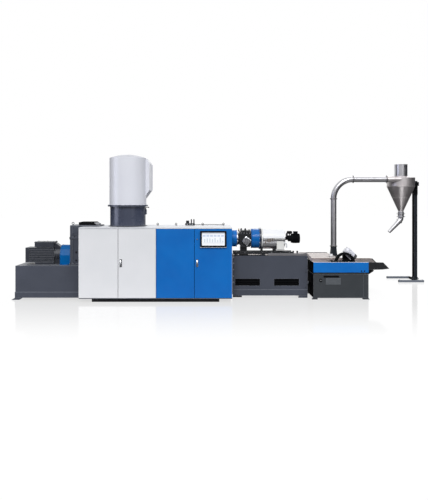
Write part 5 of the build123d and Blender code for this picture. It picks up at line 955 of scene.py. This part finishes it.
def sieve_details():
    """Side panels, lock, slot, ribbed panel, end fold, board gap strip and top edge of the sieve's tank,
    spout bracket and mount studs, then the trough's liners and deck bars and the water tank's fittings. The
    black side panels, the black slot and the dark gap strip are painted shade, and the pale top edge is a
    painted highlight."""
    left, right, front = *TANK_SPAN, TANK_FRONT
    # Painted shade: a matt black sheet on the tank's left side, which the lamps leave unlit
    side = block((left - 0.004, front + 0.012, 0.06), (left, TANK_BACK - 0.01, 0.6), 0.001)
    piece("tank_side_shade_panel", [side], MATT_BLACK)
    lock = np.array([3.918, front, 0.4566])
    plate = prism(rounded(0.06, 0.08, 0.01), lock + (0, 0.001, 0), -Y, 0.007, 0.002)
    piece("tank_lock_plate", [plate], MATT_BLACK)
    cylinder = turned([(0.001, 0), (0.014, 0), (0.012, 0.006), (0.001, 0.007)], lock - (0, 0.006, 0), -Y, 20)
    piece("tank_lock_cylinder", [cylinder], ZINC)
    # Painted shade: a matt black block where shade falls above the ribbed panel
    piece("tank_slot_shade", [block((3.987, front - 0.012, 0.53), (4.355, front, 0.571), 0.003)], MATT_BLACK)
    backing = block((4.04, front - 0.003, 0.356), (4.398, front, 0.516), 0.001)
    panel_ribs = repeated(block((4.046, front - 0.009, 0), (4.392, front - 0.002, 0.011), 0.002),
                          [(0, 0, z) for z in np.linspace(0.364, 0.5, 7)])
    piece("tank_ribbed_panel", [backing, panel_ribs], PANEL_GREY)
    piece("tank_end_fold", [block((4.935, front - 0.002, 0.05), (5.05, front, 0.606), 0.0008)], TANK_GREY)
    # Painted shade: a matt black sheet on the deck's unlit left side
    side = block((left - 0.004, front + 0.002, BOARD_FOOT), (left, TANK_BACK, 0.884), 0.001)
    piece("deck_side_shade_panel", [side], MATT_BLACK)
    # Painted shade: a dark rubber strip set back in the gap under the board, where shade falls
    skirt = block((left + 0.02, front + 0.02, TANK_TOP), (right - 0.02, front + 0.026, BOARD_FOOT), 0.001)
    piece("board_gap_shade_strip", [skirt], RUBBER)
    # Painted highlight: a pale cap along the board's lit top
    edge = block((left, front - 0.001, BOARD_TOP - 0.006), (right, front + 0.018, BOARD_TOP + 0.001), 0.001)
    piece("board_top_highlight", [edge], TRIM)
    piece("board_screws", [bolts([(4.894, front, 0.681), (4.966, front, 0.681)], -Y, 0.022)], BLACK_OXIDE)
    wedge = [(right, 0.6), (right, 0.7), (5.185, 0.7), (5.185, 0.68)]
    piece("spout_bracket", [prism(wedge, (0, front + 0.1, 0), -Y, 0.1)], MATT_BLACK)
    studs = [turned([(0.01, 0), (0.01, 0.034)], (x, y, TANK_TOP), Z, 12)
             for x in np.linspace(left + 0.06, right - 0.06, 4) for y in (front + 0.06, TANK_BACK - 0.06)]
    piece("sieve_mount_studs", studs, RUBBER)

    low, high, face = DECK_LEVEL + 0.002, BOARD_TOP - 0.004, REAR_BOARD_FRONT
    liner = [(REAR_TANK_RIGHT, low), (SPOUT_FOOT_END, low), (SPOUT_LIP, 0.79), (SPOUT_TOP_END, high),
             (REAR_TANK_RIGHT, high)]
    piece("spout_rear_liner", [prism(liner, (0, face, 0), -Y, 0.005)], TROUGH_STEEL)
    piece("deck_rear_liner", [block((left + 0.005, face - 0.005, low), (REAR_TANK_RIGHT, face, high), 0.001)],
          TROUGH_STEEL)
    edge = block((left, face - 0.007, BOARD_TOP - 0.006), (SPOUT_TOP_END, face + 0.011, BOARD_TOP + 0.0005),
                 0.001)
    piece("liner_top_edge", [edge], BRONZE)
    bars = [block((x, front + 0.03, DECK_LEVEL), (x + 0.008, 0.48, DECK_LEVEL + 0.01), 0.001)
            for x in np.linspace(left + 0.04, right - 0.06, 34)]
    piece("sieve_deck_bars", bars, TROUGH_STEEL)

    right, back = REAR_TANK_RIGHT, REAR_TANK_BACK
    rim = [block((left, back - 0.012, BOARD_TOP), (right, back, BOARD_TOP + 0.014)),
           block((left, TANK_BACK, BOARD_TOP), (left + 0.012, back, BOARD_TOP + 0.014))]
    piece("water_tank_rim", rim, BLACK)
    seams = [block((left, y - 0.004, BOARD_TOP), (right, y + 0.004, BOARD_TOP + 0.004), 0.001)
             for y in (0.98, 1.46)]
    piece("water_tank_seams", seams, STEEL_LEVEL)
    piece("float_switch_box", [block((4.405, 0.86, BOARD_TOP), (4.475, 0.93, 0.965), 0.006)], WHITE)
    cap = turned([(0.001, 0), (0.016, 0), (0.014, 0.012), (0.001, 0.014)], (4.44, 0.895, 0.965), Z, 20)
    piece("float_switch_cap", [cap], PLASTIC)


def sieve_motor_details():
    """Ribs, dark end cap, screws at both ends and cable gland of the vibration motor, tilted 45 degrees."""
    axis = np.array([1, 0, -1]) / np.sqrt(2)
    middle, radius, half = SIEVE_MOTOR, SIEVE_MOTOR_RADIUS, SIEVE_MOTOR_HALF
    ribs = [ring(radius - 0.002, radius + 0.007, t, t + 0.006, middle, axis, 0.001, 40)
            for t in np.linspace(-half + 0.05, half - 0.09, 9)]
    piece("vibration_motor_ribs", ribs, SILVER)
    cap = turned([(radius + 0.003, half - 0.07), (radius + 0.006, half - 0.06), (radius + 0.004, half - 0.01),
                  (radius * 0.8, half + 0.004), (0.001, half + 0.005)], middle, axis, 40)
    piece("vibration_motor_end_cap", [cap], BLACK)
    screws = [bolts(on_circle(radius - 0.02, 6, middle + out * reach, out), out, 0.012)
              for out, reach in ((axis, half + 0.003), (-axis, half))]
    piece("vibration_motor_cap_screws", screws, ZINC)
    gland = turned([(0.016, 0), (0.016, 0.02), (0.011, 0.028), (0.009, 0.05)],
                   middle - (0, radius - 0.004, 0), -Y, 16)
    piece("vibration_motor_gland", [gland], PLASTIC)


def blower_details():
    """Screws and edge rings of the fan cover, motor fins, cowl, grille and terminal box."""
    centre = np.array([BLOWER_X, 0, BLOWER_LEVEL])
    front, back = BLOWER_SPAN
    screws = [bolts(on_circle(0.28, 16, centre + (0, face, 0), out), out, 0.014)
              for face, out in ((front, -Y), (back, Y))]
    piece("blower_cover_screws", screws, ZINC)
    rings = [ring(0.3, 0.306, y, y + 0.012, centre, Y, count=56) for y in (front, back - 0.012)]
    piece("blower_cover_rings", rings, TANK_GREY)
    end = centre + (0, BLOWER_MOTOR_BACK, 0)
    fin = block(centre + (-0.002, back + 0.06, 0.125), end + (0.002, -0.08, 0.14), 0.0006)
    fins = turned_about(fin, centre, Y, even_angles(40))
    cowl = turned([(0.128, -0.075), (0.138, -0.068), (0.138, -0.012), (0.126, 0.0)], end, Y, 40)
    piece("blower_motor_fins", [fins, cowl], CHARCOAL)
    grille = [bead(radius, 0.003, 0.002, end, Y, 32, 6) for radius in (0.03, 0.055, 0.08, 0.105)]
    piece("blower_motor_grille", grille, BLACK)
    box = block(centre + (-0.06, back + 0.13, 0.12), centre + (0.06, back + 0.27, 0.2), 0.006)
    piece("blower_terminal_box", [box], CHARCOAL)


def pipe_details():
    """Screws on both sides of every pipe flange, a gasket in it and a weld bead beside each of its faces."""
    px, py = PIPE
    flanges = [((px, py, RISER_SPAN[0]), Z), ((px, py, RISER_SPAN[1]), Z),
               ((px + PIPE_BEND, py, PIPE_LEVEL), X), ((INLET_X, py, PIPE_LEVEL), X)]
    heads, beads, gaskets = [], [], []
    for place, axis in flanges:
        place = np.array(place, float)
        heads += [bolts(on_circle(0.092, 8, place + 0.009 * axis, axis), axis, 0.011),
                  bolts(on_circle(0.092, 8, place - 0.009 * axis, -axis), -axis, 0.011)]
        beads += [bead(PIPE_RADIUS + 0.001, 0.0045, offset, place, axis, 32, 6) for offset in (-0.012, 0.012)]
        gaskets.append(ring(PIPE_RADIUS, PIPE_FLANGE_RADIUS + 0.004, -0.005, 0.005, place, axis, 0.001))
    piece("pipe_flange_screws", heads, BLACK_OXIDE)
    piece("pipe_flange_gaskets", gaskets, RUBBER)
    piece("pipe_weld_beads", beads, CONE_STEEL)


def cyclone_details():
    """Weld beads on body, cone, outlet and exhaust, rims of the exhaust and screws of the valve's flanges."""
    axis_at = np.array([*CYCLONE, 0.0])
    beads = [bead(CYCLONE_RADIUS + 0.001, 0.005, BODY_SEAM, axis_at, Z, 64, 6),
             bead(CYCLONE_RADIUS + 0.001, 0.005, CONE_SPAN[1], axis_at, Z, 64, 6),
             bead(OUTLET_RADIUS + 0.006, 0.004, CONE_SPAN[0] + 0.02, axis_at, Z, 32, 6),
             bead(EXHAUST_RADIUS + 0.001, 0.005, CYCLONE_TOP + 0.006, axis_at, Z, 48, 6)]
    share = 0.55
    seam_radius = OUTLET_RADIUS + share * (CYCLONE_RADIUS - OUTLET_RADIUS)
    seam_level = CONE_SPAN[0] + share * (CONE_SPAN[1] - CONE_SPAN[0])
    beads.append(bead(seam_radius + 0.001, 0.004, seam_level, axis_at, Z, 56, 6))
    piece("cyclone_weld_beads", beads, CONE_STEEL)
    radius, top, joint = EXHAUST_RADIUS, EXHAUST_TOP, EXHAUST_JOINT
    rims = [ring(radius - 0.003, radius + 0.004, top - 0.016, top, axis_at, Z),
            ring(radius - 0.002, radius + 0.003, joint, joint + 0.012, axis_at, Z)]
    piece("exhaust_rims", rims, STEEL_UPRIGHT)
    flange = on_circle(0.108, 8, axis_at, Z)
    screws = [bolts(flange + (0, 0, level), out, 0.012) for level, out in zip(VALVE_FLANGES, (-Z, Z))]
    piece("valve_flange_screws", screws, ZINC)


def post_details():
    """Cap, gussets and front plate of the cyclone's post, with sleeves and anchor nuts on its foot bars. The
    post's body is matt black, painted shade for its unlit sides, and the front plate in dark slate stands for
    its lit front.
    """
    x, y = POST
    half_x, half_y = POST_HALF
    cap = block((x - half_x - 0.003, y - half_y - 0.003, POST_TOP - 0.006),
                (x + half_x + 0.003, y + half_y + 0.003, POST_TOP + 0.004))
    piece("post_cap", [cap], BLACK)
    gusset = [(half_x, 0.06), (half_x + 0.05, 0.06), (half_x + 0.05, 0.07), (half_x, 0.13)]
    gussets = [prism([(side * a, b) for a, b in gusset], (x, y + offset, 0), -Y, 0.01)
               for side in (-1, 1) for offset in (-0.06, 0.07)]
    piece("post_gussets", gussets, POST_SLATE)
    face = y - half_y
    # Painted light: the lit front in dark slate over the black body, whose sides hold painted shade
    plate = block((x - half_x, face - 0.002, 0.062), (x + half_x, face, POST_TOP - 0.008), 0.0008)
    piece("post_lit_front_plate", [plate], POST_SLATE)
    sleeves = [block((left + 0.001, middle - FOOT_HALF - 0.001, 0.004),
                     (right - 0.001, middle + FOOT_HALF - 0.001, 0.0612))
               for left, right, middle in FOOT_BARS]
    piece("foot_bar_sleeves", sleeves, FOOT_SLATE)
    left, right, middle = FOOT_BARS[0]
    anchors = spots((left + 0.03, right - 0.043), (middle,), (0.061,))
    piece("foot_anchor_nuts", [bolts(anchors, Z, 0.024)], ZINC)


def lamp(name, turn, strength, angle):
    """Distant lamp, turned by degrees about X and Z, with the angle in degrees that its light fills."""
    light = bpy.data.lights.new(name, "SUN")
    light.energy = strength
    light.angle = radians(angle)
    holder = bpy.data.objects.new(name, light)
    holder.rotation_euler = (radians(turn[0]), 0, radians(turn[1]))
    bpy.context.scene.collection.objects.link(holder)


def studio():
    """White room: an even sky that lights the line at 0.62 and is seen, mirrored and shone through as plain
    white, a main soft lamp from the front, and weak ones from the right and from behind."""
    lighting, seen = 0.62, 1.0
    scene = bpy.context.scene
    scene.view_settings.view_transform = "Standard"
    world = bpy.data.worlds.new("white_room")
    scene.world = world
    world.use_nodes = True
    tree = world.node_tree
    rays = add(tree, "ShaderNodeLightPath")
    shown = add(tree, "ShaderNodeMath", {0: rays.outputs["Is Camera Ray"], 1: rays.outputs["Is Glossy Ray"]},
                operation="MAXIMUM")
    shown = add(tree, "ShaderNodeMath", {0: shown, 1: rays.outputs["Is Transmission Ray"]},
                operation="MAXIMUM")
    level = add(tree, "ShaderNodeMapRange", {"Value": shown, "To Min": lighting, "To Max": seen})
    tree.links.new(level.outputs[0], tree.nodes["Background"].inputs["Strength"])
    tree.nodes["Background"].inputs["Color"].default_value = (1, 1, 1, 1)
    lamp("front_lamp", (52, -8), 1.95, 20)
    lamp("right_lamp", (62, 40), 0.7, 30)
    lamp("back_lamp", (55, 160), 0.7, 30)


def bare_tree(name):
    """Material with an empty node tree, for the studio."""
    material = bpy.data.materials.new(name)
    material.use_nodes = True
    material.node_tree.nodes.clear()
    return material, material.node_tree


def flat_sheet(name, corners, material):
    """Object of one face between four corners."""
    mesh = bpy.data.meshes.new(name)
    mesh.from_pydata(corners, [], [(0, 1, 2, 3)])
    mesh.materials.append(material)
    sheet = bpy.data.objects.new(name, mesh)
    bpy.context.scene.collection.objects.link(sheet)
    return sheet


def floor():
    """Pale studio floor, white to the eye, with shadows and a faint mirror image that fades with distance.

    A grey that takes shadows is mixed with a white glow, which the eye sees and mirrors hold a trace of. The
    light that bounces off meets a darker floor, so the machines' undersides stay dark.
    """
    glow_share, mirror_trace, glow_strength = 0.72, 0.06, 1.22
    seen_grey, bounced_grey, mirrored_grey = 0.42, 0.13, 0.03
    image_near, image_far, image_share, image_blur = 0.6, 5.0, 0.24, 0.09
    reach = 60.0
    material, tree = bare_tree("white_studio_floor")
    rays = add(tree, "ShaderNodeLightPath")
    mirrored = add(tree, "ShaderNodeMath", {0: rays.outputs["Is Glossy Ray"], 1: mirror_trace},
                   operation="MULTIPLY")
    shown = add(tree, "ShaderNodeMath", {0: rays.outputs["Is Camera Ray"], 1: mirrored},
                operation="MAXIMUM")
    share = add(tree, "ShaderNodeMath", {0: shown, 1: glow_share}, operation="MULTIPLY")
    bounced = add(tree, "ShaderNodeMapRange",
                  {"Value": rays.outputs["Is Glossy Ray"], "To Min": bounced_grey, "To Max": mirrored_grey})
    tone = add(tree, "ShaderNodeMix", {0: rays.outputs["Is Camera Ray"], 2: bounced, 3: seen_grey})
    matt = add(tree, "ShaderNodeBsdfDiffuse", {"Color": tone})
    glow = add(tree, "ShaderNodeEmission", {"Color": (1, 1, 1, 1), "Strength": glow_strength})
    pale = add(tree, "ShaderNodeMixShader", {0: share, 1: matt, 2: glow})
    place = add(tree, "ShaderNodeTexCoord").outputs["Object"]
    ahead = add(tree, "ShaderNodeSeparateXYZ", {0: place})
    away = add(tree, "ShaderNodeMath", {0: ahead.outputs[1]}, operation="ABSOLUTE")
    fade = add(tree, "ShaderNodeMapRange",
               {"Value": away, "From Min": image_near, "From Max": image_far,
                "To Min": image_share, "To Max": 0.0}, interpolation_type="SMOOTHSTEP")
    mirror = add(tree, "ShaderNodeBsdfGlossy", {"Color": (1, 1, 1, 1), "Roughness": image_blur})
    both = add(tree, "ShaderNodeMixShader", {0: fade, 1: pale, 2: mirror})
    add(tree, "ShaderNodeOutputMaterial", {"Surface": both})
    corners = [(-reach, -reach, 0), (reach, -reach, 0), (reach, reach, 0), (-reach, reach, 0)]
    ground = flat_sheet("studio_floor", corners, material)


def studio_cards():
    """Dark cards to the left and right, a grey one in front and a bright strip on the left, seen in
    reflections alone, so that round steel and gloss paint show their form, with the white room between."""
    foot, top = 0.02, 7
    # Colour, strength and the card's two ends as (X, Y)
    cards = {"left_card": ("#1E1F24", 1.0, (-9, -9), (-9, 12)),
             "left_strip": ("#E4E8FF", 4.5, (-5.2, -2.9), (-5.2, -0.6)),
             "right_card": ("#1E1F24", 1.0, (14, -11.5), (14, 14)),
             "front_card": ("#A09EA2", 1.0, (-14, -16), (9.5, -16))}
    for name, (colour, strength, start, end) in cards.items():
        material, tree = bare_tree(name)
        glow = add(tree, "ShaderNodeEmission", {"Color": linear(colour), "Strength": strength})
        add(tree, "ShaderNodeOutputMaterial", {"Surface": glow})
        card = flat_sheet(name, [(*start, foot), (*end, foot), (*end, top), (*start, top)], material)
        card.visible_camera = False
        card.visible_diffuse = False
        card.visible_shadow = False
        card.visible_transmission = False


def camera():
    """Level camera on the photograph's line of sight, shifted down for its high horizon."""
    lens = bpy.data.cameras.new("eye")
    lens.lens = FOCAL_LENGTH
    lens.sensor_width = SENSOR
    lens.shift_y = VIEW_SHIFT
    lens.clip_end = 200
    eye = bpy.data.objects.new("eye", lens)
    eye.location = EYE
    eye.rotation_euler = (pi / 2, 0, 0)
    bpy.context.scene.collection.objects.link(eye)
    bpy.context.scene.camera = eye


drive_details()
cabinet_details()
compactor_details()
outlet_details()
chamber_details()
cutter_motor_details()
pelletizer_details()
sieve_details()
sieve_motor_details()
blower_details()
pipe_details()
cyclone_details()
post_details()
studio()
floor()
studio_cards()
camera()
